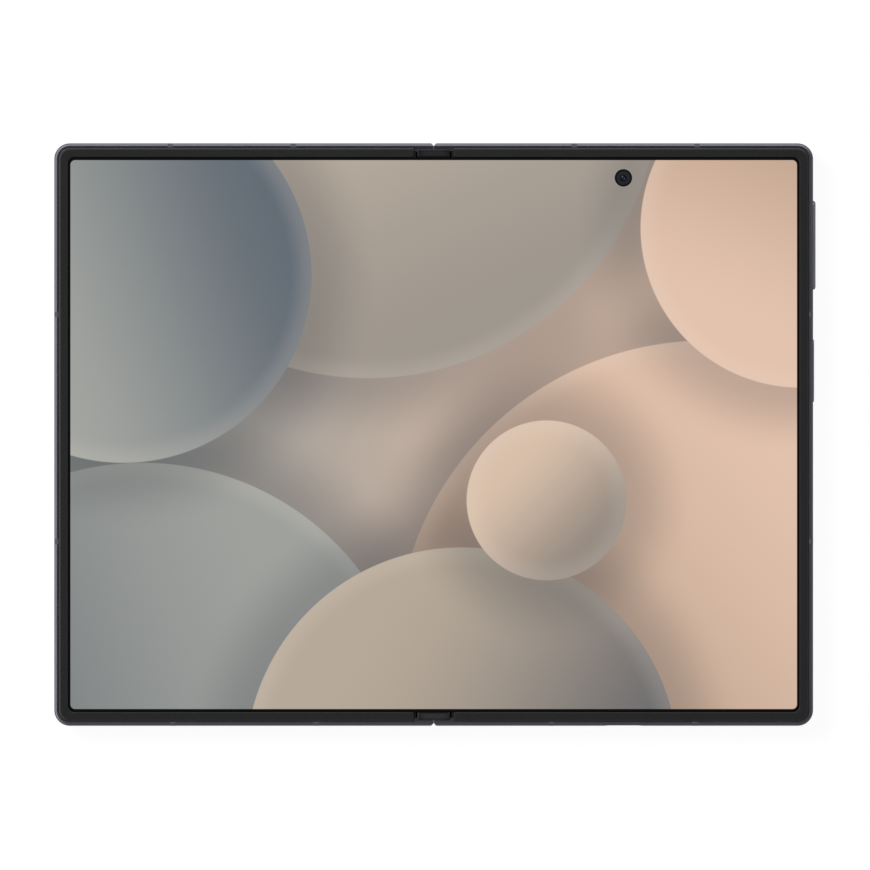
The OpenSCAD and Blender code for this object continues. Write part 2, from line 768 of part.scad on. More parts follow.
module port_tongue() { color([0.1, 0.1, 0.11]) on_rings() {
    y0 = 1.2 - body_h / 2;
    y1 = port_len - 0.6 - body_h / 2;
    w = 6.7;
    t = 0.7;
    box([half_mid - w / 2, y0, port_z - t / 2], [half_mid + w / 2, y1, port_z + t / 2]);
} }

module loudspeaker() { color([0.13, 0.13, 0.14]) on_rings() difference() {
    mouth = 0.6;
    box([port_side + 2.5, -bay_y, bay_floor], [half_w - 12, port_board_y - 1, bay_top]);
    box([port_side + 3.3, -bay_y - 1, key_z - mouth], [port_side + 10, -bay_y + 3, key_z + mouth]);
} }

module earpiece() { color([0.13, 0.13, 0.14]) on_rings() on_left()
    box([half_mid - 6.5, bay_y - 4, cover_bay_z], [half_mid + 6.5, bay_y, bay_top]);
}

module vibration_motor() { color([0.7, 0.71, 0.73]) on_rings() on_left() {
    box([half_w - 18, -bay_y + 1, cover_bay_z], [half_w - 8, -bay_y + 22, bay_top - 0.2]);
} }

module lens_places() {
    for (s = sides) translate([island_x, island_y + s * lens_step, 0]) children();
}

module camera_island() { color([0.4, 0.41, 0.44]) on_rings() difference() {
    union() {
        translate([island_x, island_y, 0]) {
            pill(island_w, island_len, -1.4, -0.02);
            pill(island_w - 0.6, island_len - 0.6, -1.6, -1.3);
            pill(island_w - 2.1, island_len - 2.1, -0.1, glass_t + 0.04);
        }
        lens_places() translate([0, 0, -island_h]) cylinder(r = ring_r, h = island_h);
    }
    lens_places() translate([0, 0, -island_h - 1]) cylinder(r = window_r, h = island_h + 3);
    translate([island_x, island_y, -3]) cylinder(r = flash_r + 0.05, h = 6);
} }

module camera_windows() { color([0.05, 0.05, 0.08]) on_rings()
    lens_places() translate([0, 0, 0.1 - island_h]) cylinder(r = window_r - 0.03, h = window_t);
}

module flash_lens() { color([0.95, 0.9, 0.7]) on_rings()
    translate([island_x, island_y, -1.55]) cylinder(r = flash_r, h = 1.4);
}

module camera_modules() { color([0.16, 0.16, 0.17]) on_rings() lens_places() {
    translate([0, 0, window_t + 0.3 - island_h]) cylinder(r = 4.6, h = island_h + glass_t);
    translate([0, 0, glass_t + 0.4]) linear_extrude(bay_top - glass_t - 0.4)
        square(camera_module_w, center = true);
} }

module inner_camera() { color([0.1, 0.1, 0.11]) on_rings() translate([half_mid, camera_y, 0]) {
    w = camera_box - 0.5;
    barrel_z = plate_z - 0.5;
    translate([-w / 2, -w / 2, bay_floor + 0.2]) cube([w, w, plate_z - bay_floor - 0.3]);
    translate([0, 0, barrel_z]) cylinder(d = punch_d - 0.1, h = screen_z - 0.1 - barrel_z);
} }

module cover_camera() { color([0.1, 0.1, 0.11]) on_rings() on_left()
    translate([half_mid, cover_camera_y, glass_t]) {
        cylinder(r = 2.3, h = 1);
        translate([-3.2, -3.2, 0.5]) cube([6.4, 6.4, bay_top - glass_t - 0.5]);
    }
}

module key_switches() { color([0.72, 0.73, 0.75]) on_rings() {
    for (y = switch_places)
        box([switch_x - 0.9, y - 1.6, key_z - 1.1], [switch_x, y + 1.6, key_z + 0.7]);
} }

module key_body(y, len, rise, w) {
    translate([half_w - key_depth, y, key_z]) rotate([0, 90, 0])
        linear_extrude(key_depth + rise - 0.2) rounded(w, len, w / 2 - 0.01);
    translate([half_w - key_depth, y, key_z]) rotate([0, 90, 0])
        linear_extrude(key_depth + rise) rounded(w - 0.3, len - 0.3, w / 2 - 0.16);
    for (p = switch_places) if (abs(p - y) < len / 2)
        translate([switch_x + key_reach, p, key_z]) rotate([0, 90, 0]) cylinder(r = 0.5, h = 1);
}

// Volume key, with the round rib on its inner side that it rocks on
module volume_key() { color([0.37, 0.38, 0.41]) on_rings() {
    key_body(volume_y, volume_len, volume_rise, key_w);
    rib = key_w - 0.4;
    translate([half_w - key_depth, volume_y, key_z - rib / 2]) cylinder(r = pivot_r, h = rib);
} }

module side_key() { color([0.37, 0.38, 0.41]) on_rings() key_body(side_y, side_len, side_rise, key_w); }

// Socket that the card tray slides into, standing on the card board
module card_board() { color([0.08, 0.25, 0.18]) on_rings() on_left()
    box([bay_in + 1, -bay_y, board_z], [half_w - 20, card_board_y, board_top]);
}

module card_socket() { color([0.72, 0.73, 0.75]) on_rings() on_left() {
    half = tray_w / 2 + 0.1;
    wall = 0.5;
    y0 = -bay_y + 0.3;
    difference() {
        box([tray_x - half - wall, y0, board_top],
            [tray_x + half + wall, y0 + tray_len + 1, tray_z + 0.9]);
        box([tray_x - half, y0 - 1, board_top + 0.15], [tray_x + half, y0 + tray_len, tray_z + 0.7]);
    }
} }

module card_tray() { color([0.37, 0.38, 0.41]) on_rings() on_left() {
    y0 = -body_h / 2 + 0.05;
    head_t = 1.3;
    half = tray_w / 2 - 0.6;
    card_half = 4.5;
    difference() {
        union() {
            translate([tray_x, y0 + head_t, tray_z]) rotate([90, 0, 0])
                linear_extrude(head_t) rounded(tray_w, tray_t, tray_t / 2 - 0.01);
            box([tray_x - half, y0 + 1, tray_z - 0.4], [tray_x + half, y0 + tray_len, tray_z + 0.4]);
        }
        box([tray_x - card_half, y0 + 3.5, tray_z - 0.1],
            [tray_x + card_half, y0 + tray_len - 1.8, tray_z + 1]);
    }
} }

frame_right();
frame_left();
rear_glass();
cover_glass();
cover_display();
bezel_right();
bezel_left();
antenna_bands_right();
antenna_bands_left();
display_panel_right();
display_panel_left();
display_plate_right();
display_plate_left();
display_fold_right();
display_fold_left();
hinge_spine();
hinge_blocks();
gear_shafts();
end_caps();
hinge_flex();
hinge_brackets_right();
hinge_brackets_left();
bracket_screws_right();
bracket_screws_left();
wing_plate_right();
wing_plate_left();
sync_arms_right();
sync_arms_left();
idler_gears_right();
idler_gears_left();
battery_right();
battery_left();
main_board();
board_shields();
port_board();
card_board();
charging_port();
port_tongue();
loudspeaker();
earpiece();
vibration_motor();
camera_island();
camera_modules();
camera_windows();
flash_lens();
inner_camera();
cover_camera();
key_switches();
volume_key();
side_key();
card_socket();
card_tray();
flex_right();
flex_left();
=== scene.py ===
import json
import math

import bmesh
import bpy
from mathutils import Matrix, Vector


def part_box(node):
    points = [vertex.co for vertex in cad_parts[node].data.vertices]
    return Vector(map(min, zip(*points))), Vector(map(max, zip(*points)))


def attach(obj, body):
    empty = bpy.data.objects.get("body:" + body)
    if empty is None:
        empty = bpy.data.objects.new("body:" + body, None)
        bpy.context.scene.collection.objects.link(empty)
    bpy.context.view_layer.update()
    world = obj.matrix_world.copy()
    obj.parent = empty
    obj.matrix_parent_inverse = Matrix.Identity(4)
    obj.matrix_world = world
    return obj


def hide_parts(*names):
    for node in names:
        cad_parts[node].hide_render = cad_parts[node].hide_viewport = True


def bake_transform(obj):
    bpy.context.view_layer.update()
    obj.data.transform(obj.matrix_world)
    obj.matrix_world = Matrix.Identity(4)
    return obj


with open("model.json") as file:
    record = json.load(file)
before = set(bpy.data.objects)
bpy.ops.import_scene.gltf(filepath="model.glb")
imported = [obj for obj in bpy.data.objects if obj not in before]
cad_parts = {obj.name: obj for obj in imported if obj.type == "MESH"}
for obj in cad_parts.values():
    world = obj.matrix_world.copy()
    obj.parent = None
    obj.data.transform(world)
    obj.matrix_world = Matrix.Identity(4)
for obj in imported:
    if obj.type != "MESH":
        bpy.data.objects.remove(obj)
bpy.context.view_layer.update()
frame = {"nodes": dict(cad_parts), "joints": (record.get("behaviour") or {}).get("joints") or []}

# ---------------------------------------------------------------- metal frame
# Each half has one milled aluminium rail, bead-blasted and anodised dark grey, round outside
# and open towards the hinge. A thin shelf inside carries the screen. Keys, port, tray and
# speaker holes are cut through the rail's wall, each with a small chamfer.
MM = 0.001
SIDES = {"right": 1, "left": -1}
nodes = frame["nodes"]
half_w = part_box("frame_right")[1].x / MM
half_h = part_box("frame_right")[1].y / MM
back_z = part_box("rear_glass")[0].z / MM
top_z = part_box("bezel_right")[1].z / MM - back_z
axis = [j for j in frame["joints"] if j["name"] == "fold_right"][0]["pos_m"]
axis_x = axis[0] / MM
axis_z = axis[2] / MM - back_z
half_gap = axis_x - (top_z - axis_z)
rail_show = 0.85
rail_in = 1.6
corner_r = 3.3
back_round = 0.8
end_round = 0.6
rail_start = 0.01
glass_t = 0.5


class Solid:
    """Closed shells in millimetres, counted from the phone's back face, skinned from rings of points."""

    def __init__(self):
        self.points = []
        self.faces = []
        self.coats = []

    def skin(self, rings, loop=False, coat=0):
        start = len(self.points)
        count = len(rings[0])
        for ring in rings:
            self.points.extend(ring)
        last = len(rings) if loop else len(rings) - 1
        for i in range(last):
            a = start + i * count
            b = start + (i + 1) % len(rings) * count
            for k in range(count):
                n = (k + 1) % count
                self.faces.append((a + k, a + n, b + n, b + k))
        if not loop:
            self.faces.append(tuple(range(start, start + count)))
            self.faces.append(tuple(range(start + last * count, start + (last + 1) * count)))
        self.coats.extend([coat] * (len(self.faces) - len(self.coats)))
        return self

    def mesh(self, name):
        mesh = bpy.data.meshes.new(name)
        mesh.from_pydata(self.points, [], self.faces)
        for face, coat in zip(mesh.polygons, self.coats):
            face.material_index = coat
        tidy = bmesh.new()
        tidy.from_mesh(mesh)
        bmesh.ops.remove_doubles(tidy, verts=tidy.verts, dist=1e-5)
        bmesh.ops.recalc_face_normals(tidy, faces=tidy.faces)
        tidy.to_mesh(mesh)
        tidy.free()
        return mesh


def carve(mesh, tools):
    """The mesh with the tool shapes cut out of it."""
    blank = bpy.data.objects.new("blank", mesh)
    cutter = bpy.data.objects.new("cutter", tools.mesh("cutter"))
    for piece in (blank, cutter):
        bpy.context.scene.collection.objects.link(piece)
    cut = blank.modifiers.new("cut", "BOOLEAN")
    cut.operation = "DIFFERENCE"
    cut.solver = "EXACT"
    cut.object = cutter
    seen = blank.evaluated_get(bpy.context.evaluated_depsgraph_get())
    carved = bpy.data.meshes.new_from_object(seen)
    for piece in (blank, cutter):
        bpy.data.objects.remove(piece)
    return carved


def joined(meshes, name):
    """Several meshes as one."""
    whole = bmesh.new()
    for mesh in meshes:
        whole.from_mesh(mesh)
    made = bpy.data.meshes.new(name)
    whole.to_mesh(made)
    whole.free()
    return made


def phone_piece(name, mesh, finishes, side=1, sharp=32):
    """A finished object from a mesh in millimetres. A side of -1 mirrors it to the left half.
    Flat faces keep their own normals right up to a rounded edge."""
    mesh.transform(Matrix.Diagonal((side * MM, MM, MM, 1)))
    mesh.transform(Matrix.Translation((0, 0, back_z * MM)))
    if side < 0:
        mesh.flip_normals()
    mesh.shade_smooth()
    mesh.set_sharp_from_angle(angle=math.radians(sharp))
    coats = [face.material_index for face in mesh.polygons]
    mesh.materials.clear()
    for finish in finishes:
        mesh.materials.append(finish.material)
    mesh.polygons.foreach_set("material_index", coats)
    piece = bpy.data.objects.new(name, mesh)
    bpy.context.scene.collection.objects.link(piece)
    even = piece.modifiers.new("even", "WEIGHTED_NORMAL")
    even.keep_sharp = True
    seen = piece.evaluated_get(bpy.context.evaluated_depsgraph_get())
    piece.data = bpy.data.meshes.new_from_object(seen)
    piece.modifiers.clear()
    return piece


def fit(piece, body, slot, *replaced):
    """The piece rides on its body and stands for its CAD nodes. Its slot is not used."""
    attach(piece, body)
    if replaced:
        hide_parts(*replaced)


def dress(names, finish):
    """CAD nodes whose shape is right get their finish."""
    for name in names:
        nodes[name].data.materials.clear()
        nodes[name].data.materials.append(finish.material)


class Tone:
    """A number, colour or vector that varies over a surface: one output socket of a finish."""

    def __init__(self, finish, socket):
        self.finish = finish
        self.socket = socket

    def maths(self, operation, a, b):
        return self.finish.node("ShaderNodeMath", {"operation": operation}, {0: a, 1: b})

    def __add__(self, other):
        return self.maths("ADD", self, other)

    def __radd__(self, other):
        return self.maths("ADD", other, self)

    def __sub__(self, other):
        return self.maths("SUBTRACT", self, other)

    def __rsub__(self, other):
        return self.maths("SUBTRACT", other, self)

    def __mul__(self, other):
        return self.maths("MULTIPLY", self, other)

    def __rmul__(self, other):
        return self.maths("MULTIPLY", other, self)

    def __truediv__(self, other):
        return self.maths("DIVIDE", self, other)

    def __pow__(self, other):
        return self.maths("POWER", self, other)

    def at_least(self, other):
        return self.maths("MAXIMUM", self, other)

    def at_most(self, other):
        return self.maths("MINIMUM", self, other)

    def size(self):
        return self.maths("ABSOLUTE", self, 0)


class Finish:
    """A surface finish, or the room's sky: a shader built node by node."""

    def __init__(self, name, among=bpy.data.materials):
        self.material = among.new(name)
        self.material.use_nodes = True
        self.tree = self.material.node_tree
        self.tree.nodes.clear()

    def node(self, kind, settings=None, sockets=None, out=0):
        made = self.tree.nodes.new(kind)
        for key, value in (settings or {}).items():
            if key == "stops":
                ramp = made.color_ramp.elements
                while len(ramp) < len(value):
                    ramp.new(1)
                for stop, (place, colour) in zip(ramp, value):
                    stop.position = place
                    stop.color = colour
            else:
                setattr(made, key, value)
        for key, value in (sockets or {}).items():
            if isinstance(value, Tone):
                self.tree.links.new(value.socket, made.inputs[key])
            else:
                made.inputs[key].default_value = value
        return Tone(self, made.outputs[out]) if made.outputs else None

    def place(self):
        return self.node("ShaderNodeTexCoord", out="Object")

    def parts(self, vector):
        return [self.node("ShaderNodeSeparateXYZ", None, {0: vector}, i) for i in range(3)]

    def noise(self, scale, detail=2.0, vector=None):
        return self.node("ShaderNodeTexNoise", None,
                         {"Vector": vector or self.place(), "Scale": scale, "Detail": detail}, "Fac")

    def mix(self, share, a, b):
        return self.node("ShaderNodeMix", {"data_type": "RGBA"}, {0: share, 6: a, 7: b}, 2)

    def step(self, value, low, high, start=0.0, end=1.0):
        """Goes smoothly from start to end as the value goes from low to high."""
        return self.node("ShaderNodeMapRange", {"interpolation_type": "SMOOTHSTEP"},
                         {0: value, 1: low, 2: high, 3: start, 4: end})

    def bump(self, height, depth, strength=1.0):
        return self.node("ShaderNodeBump", None,
                         {"Height": height, "Distance": depth, "Strength": strength}, "Normal")

    def surface(self, **sockets):
        given = {key.replace("_", " "): value for key, value in sockets.items()}
        shader = self.node("ShaderNodeBsdfPrincipled", None, given)
        self.node("ShaderNodeOutputMaterial", None, {"Surface": shader})
        return self


def paint(red, green, blue):
    """A colour given as it shows on a screen, 0 to 255, as the linear colour that a shader takes."""
    linear = [((c / 255 + 0.055) / 1.055) ** 2.4 if c > 10 else c / 255 / 12.92
              for c in (red, green, blue)]
    return (*linear, 1)


def satin_metal(name, colour, roughness, dark_share=0.82):
    """Blasted and anodised metal: a fine even grain, and a slow drift in tone along the part."""
    metal = Finish(name)
    drift = metal.noise(60, 2)
    grain = metal.noise(14000, 3)
    deep = tuple(c * dark_share for c in colour[:3]) + (1,)
    return metal.surface(
        Base_Color=metal.mix(drift * 0.6 + grain * 0.4, deep, colour), Metallic=1.0,
        Roughness=roughness - 0.05 + grain * 0.1,
        Normal=metal.bump(grain, 0.000004))


def arc(cx, cy, rx, ry, start, end, steps):
    """Points on an ellipse, from one angle to another in degrees."""
    angles = [math.radians(start + (end - start) * i / steps) for i in range(steps + 1)]
    return [(cx + rx * math.cos(a), cy + ry * math.sin(a)) for a in angles]


def outline(x0, y0, x1, y1, r, steps=8):
    """Points round a rectangle with round corners: one radius, or four from the lower left one."""
    radii = r if isinstance(r, tuple) else (r,) * 4
    corners = ((x0, y0, 1, 1), (x1, y0, -1, 1), (x1, y1, -1, -1), (x0, y1, 1, -1))
    points = []
    for k, ((x, y, sx, sy), radius) in enumerate(zip(corners, radii)):
        points += arc(x + sx * radius, y + sy * radius, radius, radius,
                      180 + 90 * k, 270 + 90 * k, steps)
    return points


def disc(x, y, r, steps=8):
    return outline(x - r, y - r, x + r, y + r, r, steps)


def lifted(points, z):
    return [(x, y, z) for x, y in points]


def round_half(section, corner, x_start, ends, arc_steps=14):
    """Stations of a section of (inset, height) points, swept round the outer sides of a half.
    ends gives, for each distance from the hinge end, what trims the section there."""
    rings = []
    for s, trim in ends:
        rings.append([(x_start + s, half_h - d, z) for d, z in map(trim, section)])
    for i in range(arc_steps + 1):
        a = math.radians(90 - 90 * i / arc_steps)
        rings.append([(half_w - d - corner(d) * (1 - math.cos(a)),
                       half_h - d - corner(d) * (1 - math.sin(a)), z) for d, z in section])
    return rings + [[(x, -y, z) for x, y, z in ring] for ring in reversed(rings)]


def end_drop(s, r):
    """How far a rounded end of radius r falls away at distance s from its face."""
    return r - math.sqrt(max(r * r - (r - s) ** 2, 0)) if s < r else 0


def rail_end(s):
    def trim(point):
        d, z = point
        bevel = end_round * max(1 - s / end_round, 0) ** 1.4
        return max(d, bevel), min(z, top_z - end_drop(s, axis_x - rail_start))
    return s, trim


def rail_corner(d):
    return max(corner_r - d, 0.4)


rail_top = top_z - 0.2
rail_low = 0.05
shelf_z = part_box("display_plate_right")[0].z / MM - back_z


def soft_chamfer(width, height, steps=10):
    """The upper outer edge: a chamfer with both its corners blended round."""
    angles = [math.radians(90 * i / steps) for i in range(steps + 1)]
    return [(width - width * math.cos(a) ** (4 / 3), rail_top - height + height * math.sin(a) ** (4 / 3))
            for a in angles]


outer_side = (arc(back_round, rail_low + back_round, back_round, back_round, 270, 180, 8)
              + soft_chamfer(0.5, 0.35))
rail_section = outer_side + [(rail_show, rail_top - 0.02), (rail_show, shelf_z), (rail_in, shelf_z),
                             (rail_in, glass_t), (rail_show, glass_t), (rail_show, rail_low)]
rail_ends = [rail_end(end_round * i / 10) for i in range(11)]
key_z = top_z / 2
key_gap = 0.1
key_w = 1.9
hole_depth = 2.6
mic_w = 0.5
speaker_x = 49.6
speaker_w = 0.8
speaker_pitch = 1.25
earpiece_w = 0.7
earpiece_pitch = 1.5
key_boxes = {name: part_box(name) for name in ("volume_key", "side_key")}


def side_slot(solid, y, z, length, width, depth):
    """A pill-shaped opening in the outer side, with a small chamfer at its mouth."""
    rings = []
    for x, grow in ((half_w - depth, 0), (half_w - 0.12, 0), (half_w + 0.02, 0.12), (half_w + 2, 0.12)):
        w = width / 2 + grow
        rings.append([(x, u, v) for u, v in outline(y - length / 2 - grow, z - w, y + length / 2 + grow,
                                                    z + w, w - 0.005)])
    return solid.skin(rings)


def edge_hole(solid, x, z, width, height, depth, sign, mouth=((0.12, 0), (-0.02, 0.1), (-2, 0.1))):
    """A pill-shaped or round opening in the upper or lower edge, with a small chamfer.
    The mouth gives how far the opening has grown at each inset from the edge."""
    rings = []
    for inset, grow in ((depth, 0), *mouth):
        h = height / 2 + grow
        w = width / 2 + grow
        rings.append([(u, sign * (half_h - inset), v)
                      for u, v in outline(x - w, z - h, x + w, z + h, min(w, h) - 0.005)])
    return solid.skin(rings)


def screen_shelf(solid):
    """The shelf under the screen and the lip that the rear glass is glued to."""
    x0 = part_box("wing_plate_right")[1].x / MM - 0.1
    inset = rail_in - 0.2
    plate = [outline(x0, inset - half_h, half_w - inset, half_h - inset, (0.1, 1.7, 1.7, 0.1))] * 2
    solid.skin([lifted(ring, z) for ring, z in zip(plate, (shelf_z - 0.65, shelf_z - 0.05))])
    lip_y = half_h - 1.4
    strip = [outline(half_gap, -lip_y, half_gap + 1.5, lip_y, 0.1)] * 2
    solid.skin([lifted(ring, z) for ring, z in zip(strip, (0.04, glass_t - 0.02))])


port_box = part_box("charging_port")
port_x = (port_box[0].x + port_box[1].x) / 2 / MM
port_z = (port_box[0].z + port_box[1].z) / 2 / MM - back_z
tray_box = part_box("card_tray")
tray_x = -(tray_box[0].x + tray_box[1].x) / 2 / MM
tray_z = 2.3
holes = {"right": Solid(), "left": Solid()}
for box in key_boxes.values():
    length = (box[1].y - box[0].y) / MM + 2 * key_gap
    side_slot(holes["right"], (box[0].y + box[1].y) / 2 / MM, key_z, length, key_w + 2 * key_gap, hole_depth)
port_mouth = ((0.2, 0), (0.06, 0.62), (-0.02, 0.85), (-2, 0.85))
edge_hole(holes["right"], port_x, port_z, 9.0, 3.2, hole_depth, -1, port_mouth)
for i in range(5):
    x = speaker_x + (i - 2) * speaker_pitch
    edge_hole(holes["right"], x, key_z, speaker_w, speaker_w, hole_depth, -1)
for name, x, sign in (("right", 31.4, -1), ("right", 47.5, 1), ("left", 28.6, -1)):
    edge_hole(holes[name], x, key_z, mic_w, mic_w, hole_depth, sign)
edge_hole(holes["left"], tray_x, tray_z, 15.2, 1.8, hole_depth, -1)
for i in range(6):
    x = half_w / 2 + (i - 2.5) * earpiece_pitch
    edge_hole(holes["left"], x, 2.2, earpiece_w, earpiece_w, hole_depth, 1)

frame_metal = satin_metal("anodised_rail", paint(122, 123, 132), 0.3)
for name, side in SIDES.items():
    rail = Solid().skin(round_half(rail_section, rail_corner, rail_start, rail_ends))
    inner = Solid()
    screen_shelf(inner)
    mesh = joined([carve(rail.mesh("rail"), holes[name]), inner.mesh("shelf")], "rail")
    piece = phone_piece(f"metal_frame_{name}", mesh, [frame_metal], side)
    fit(piece, f"{name}_half", "frame_metal", f"frame_{name}")

# ------------------------------------------------------------- antenna breaks
# Moulded plastic fills the six narrow breaks in each rail. It is dyed a little darker than
# the metal and machined flush with it, so only a change of tone and gloss shows.
band_w = 1.1
band_proud = 0.012
band_section = ([(d - band_proud, z) for d, z in outer_side]
                + [(rail_show + 0.01, rail_top - 0.01), (rail_show + 0.01, rail_low)])
edge_bands = {"right": {1: (29.9, 56.0), -1: (25.1, 55.5)}, "left": {1: (29.9, 56.0), -1: (25.0, 55.5)}}
side_bands = (25.56, -22.76)
band_plastic = Finish("moulded_band")
speckle = band_plastic.noise(9000, 3)
band_plastic.surface(Base_Color=band_plastic.mix(speckle, paint(66, 67, 73), paint(76, 77, 84)),
                     Roughness=0.42 + speckle * 0.08, Normal=band_plastic.bump(speckle, 0.000003))
for name, side in SIDES.items():
    bands = Solid()
    for sign, places in edge_bands[name].items():
        for x in places:
            bands.skin([[(x + e * band_w / 2, sign * (half_h - d), z) for d, z in band_section]
                        for e in (-1, 1)])
    for y in side_bands:
        bands.skin([[(half_w - d, y + e * band_w / 2, z) for d, z in band_section] for e in (-1, 1)])
    piece = phone_piece(f"antenna_bands_{name}_half", bands.mesh("bands"), [band_plastic], side)
    fit(piece, f"{name}_half", "band_plastic", f"antenna_bands_{name}")

# --------------------------------------------------------------------- bezels
# A moulded soft plastic frame is glued round three sides of each half over the screen's edge.
# Its outer edge slopes down to the metal, its top is flat, and a small round lip meets the
# screen. It stops short of the hinge, with round corners, to leave room for the end caps.
bezel_out = rail_show + 0.03
bezel_in = 2.9
bezel_end_x = 4.26
lip_r = 0.14
notch_r = 0.35
panel_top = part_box("display_panel_right")[1].z / MM - back_z
bezel_section = ([(bezel_out, shelf_z + 0.07)]
                 + arc(bezel_out + 0.55, top_z - 0.3, 0.55, 0.3, 180, 90, 9)
                 + arc(bezel_in - lip_r, top_z - lip_r, lip_r, lip_r, 90, 0, 6)
                 + [(bezel_in, panel_top + 0.02), (2.3, panel_top + 0.02), (2.3, shelf_z + 0.07)])


def bezel_corner(d):
    return 2.42 - (d - bezel_out) * (2.42 - 1.4) / (bezel_in - bezel_out)


def bezel_end(s):
    def trim(point):
        d, z = point
        if d > 2.35:
            d -= end_drop(s, notch_r)
        return d, min(z, top_z - end_drop(s, 0.12))
    return s, trim


bezel_plastic = Finish("soft_bezel")
tooth = bezel_plastic.noise(11000, 4)
cloud = bezel_plastic.noise(90, 2)
bezel_plastic.surface(
    Base_Color=bezel_plastic.mix(tooth * 0.6 + cloud * 0.4, paint(30, 30, 31), paint(37, 37, 38)),
    Roughness=0.22 + tooth * 0.1, Specular_IOR_Level=0.36, Normal=bezel_plastic.bump(tooth, 0.000004))
bezel_ends = [bezel_end(notch_r * (i / 7) ** 1.5) for i in range(8)]
for name, side in SIDES.items():
    mesh = Solid().skin(round_half(bezel_section, bezel_corner, bezel_end_x, bezel_ends)).mesh("bezel")
    piece = phone_piece(f"screen_bezel_{name}", mesh, [bezel_plastic], side)
    fit(piece, f"{name}_half", "bezel_plastic", f"bezel_{name}")

# ------------------------------------------------------------ flexible screen
# One thin plastic display sheet crosses the hinge. Each side is bonded flat to its half, and
# the middle 9 mm is free and rolls into a drop as the phone shuts. A narrow black border
# runs round the lit area, and the lit area shows a plain picture of overlapping soft discs.
sheet_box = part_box("display_panel_right")
sheet_x = sheet_box[1].x / MM
sheet_y = sheet_box[1].y / MM
sheet_low = sheet_box[0].z / MM - back_z
fold_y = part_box("display_fold_right")[1].y / MM
fold_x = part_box("display_fold_right")[1].x / MM
lit_x = 77.26
lit_y = 58.37
lit_r = 1.0
punch_r = 3.65 / 2
punch = [c / 2 / MM for c in (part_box("inner_camera")[0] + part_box("inner_camera")[1])[:2]]
UV_SPAN = 200.0
SCREEN_MAP = "over_the_screen"


def sheet_half(y_of):
    """One side of the sheet: cross-sections over x, close together where it bends."""
    bends = [i * 0.1 for i in range(int(fold_x / 0.1) + 1)]
    rounds = [sheet_x - 1.0 + math.sin(math.radians(a)) for a in range(0, 91, 10)]
    rings = []
    for x in bends + [fold_x + 0.04, fold_x + 0.12] + rounds:
        y = y_of(x)
        rings.append([(x, -y, sheet_low), (x, y, sheet_low), (x, y, panel_top - 0.05),
                      (x, y - 0.05, panel_top), (x, 0.05 - y, panel_top), (x, -y, panel_top - 0.05)])
    return Solid().skin(rings)


def sheet_edge(x):
    """Half the sheet's height at x: narrower over the hinge, and round at the outer corners."""
    if x <= fold_x:
        return fold_y
    across = max(x - (sheet_x - 1.0), 0)
    return sheet_y - 1.0 + math.sqrt(max(1.0 - across * across, 0.0004))


def soft_discs(screen):
    """The picture: large discs lie over one another, each shaded across and casting a soft shade."""
    uv = screen.node("ShaderNodeUVMap", {"uv_map": SCREEN_MAP})
    u, v, _ = screen.parts(uv)
    x = (u - 0.5) * UV_SPAN
    y = (v - 0.5) * UV_SPAN
    picture = screen.mix(screen.step(x, -70, 55), paint(150, 152, 149), paint(221, 191, 170))
    picture = screen.mix(screen.step(y + x * 0.25, 10, 75, 0, 0.55), picture, paint(190, 177, 163))
    discs = (
        # centre x, y, radius, angle of the light side, dark colour, light colour
        (-14, 74, 62, 115, (158, 150, 141), (205, 190, 173)),
        (58, -46, 66, 40, (170, 147, 127), (226, 194, 172)),
        (-62, -64, 58, 20, (104, 111, 117), (158, 160, 156)),
        (-66, 34, 40, 200, (98, 107, 116), (164, 166, 161)),
        (6, -70, 46, 150, (100, 101, 105), (182, 168, 152)),
        (78, 44, 34, 250, (186, 158, 136), (226, 194, 172)),
        (24, -14, 17, 135, (146, 136, 127), (216, 191, 170)),
    )
    for cx, cy, radius, light, dark, pale in discs:
        dx = x - cx
        dy = y - cy
        from_centre = (dx * dx + dy * dy) ** 0.5
        shade = screen.step(from_centre, radius, radius + 15, 0.34, 0)
        picture = screen.mix(shade, picture, paint(62, 68, 76))
        a = math.radians(light)
        across = (dx * math.cos(a) + dy * math.sin(a)) / radius
        tone = screen.mix(screen.step(across, -0.95, 0.75), paint(*dark), paint(*pale))
        rim = screen.step(from_centre, radius - 5, radius, 0, 0.10)
        tone = screen.mix(rim, tone, paint(246, 236, 224))
        picture = screen.mix(screen.step(from_centre, radius - 0.12, radius + 0.12, 1, 0), picture, tone)
    return picture, x, y


screen_film = Finish("lit_screen")
picture, x, y = soft_discs(screen_film)
over_x = (x.size() - (lit_x - lit_r)).at_least(0)
over_y = (y.size() - (lit_y - lit_r)).at_least(0)
border = (over_x * over_x + over_y * over_y) ** 0.5
lit = screen_film.step(border, lit_r - 0.05, lit_r + 0.05, 1, 0)
ring_x = x - punch[0]
ring_y = y - punch[1]
lit = lit * screen_film.step((ring_x * ring_x + ring_y * ring_y) ** 0.5, punch_r, punch_r + 0.06)
dust = screen_film.noise(30, 1, screen_film.node("ShaderNodeUVMap", {"uv_map": SCREEN_MAP}))
screen_film.surface(
    Base_Color=paint(13, 13, 14), Roughness=0.12 + dust * 0.04, Specular_IOR_Level=0.2,
    Emission_Color=screen_film.mix(lit, (0, 0, 0, 1), picture), Emission_Strength=1.0)
hole = Solid().skin([lifted(disc(punch[0], punch[1], punch_r - 0.01, 14), z) for z in (-1, 9)])
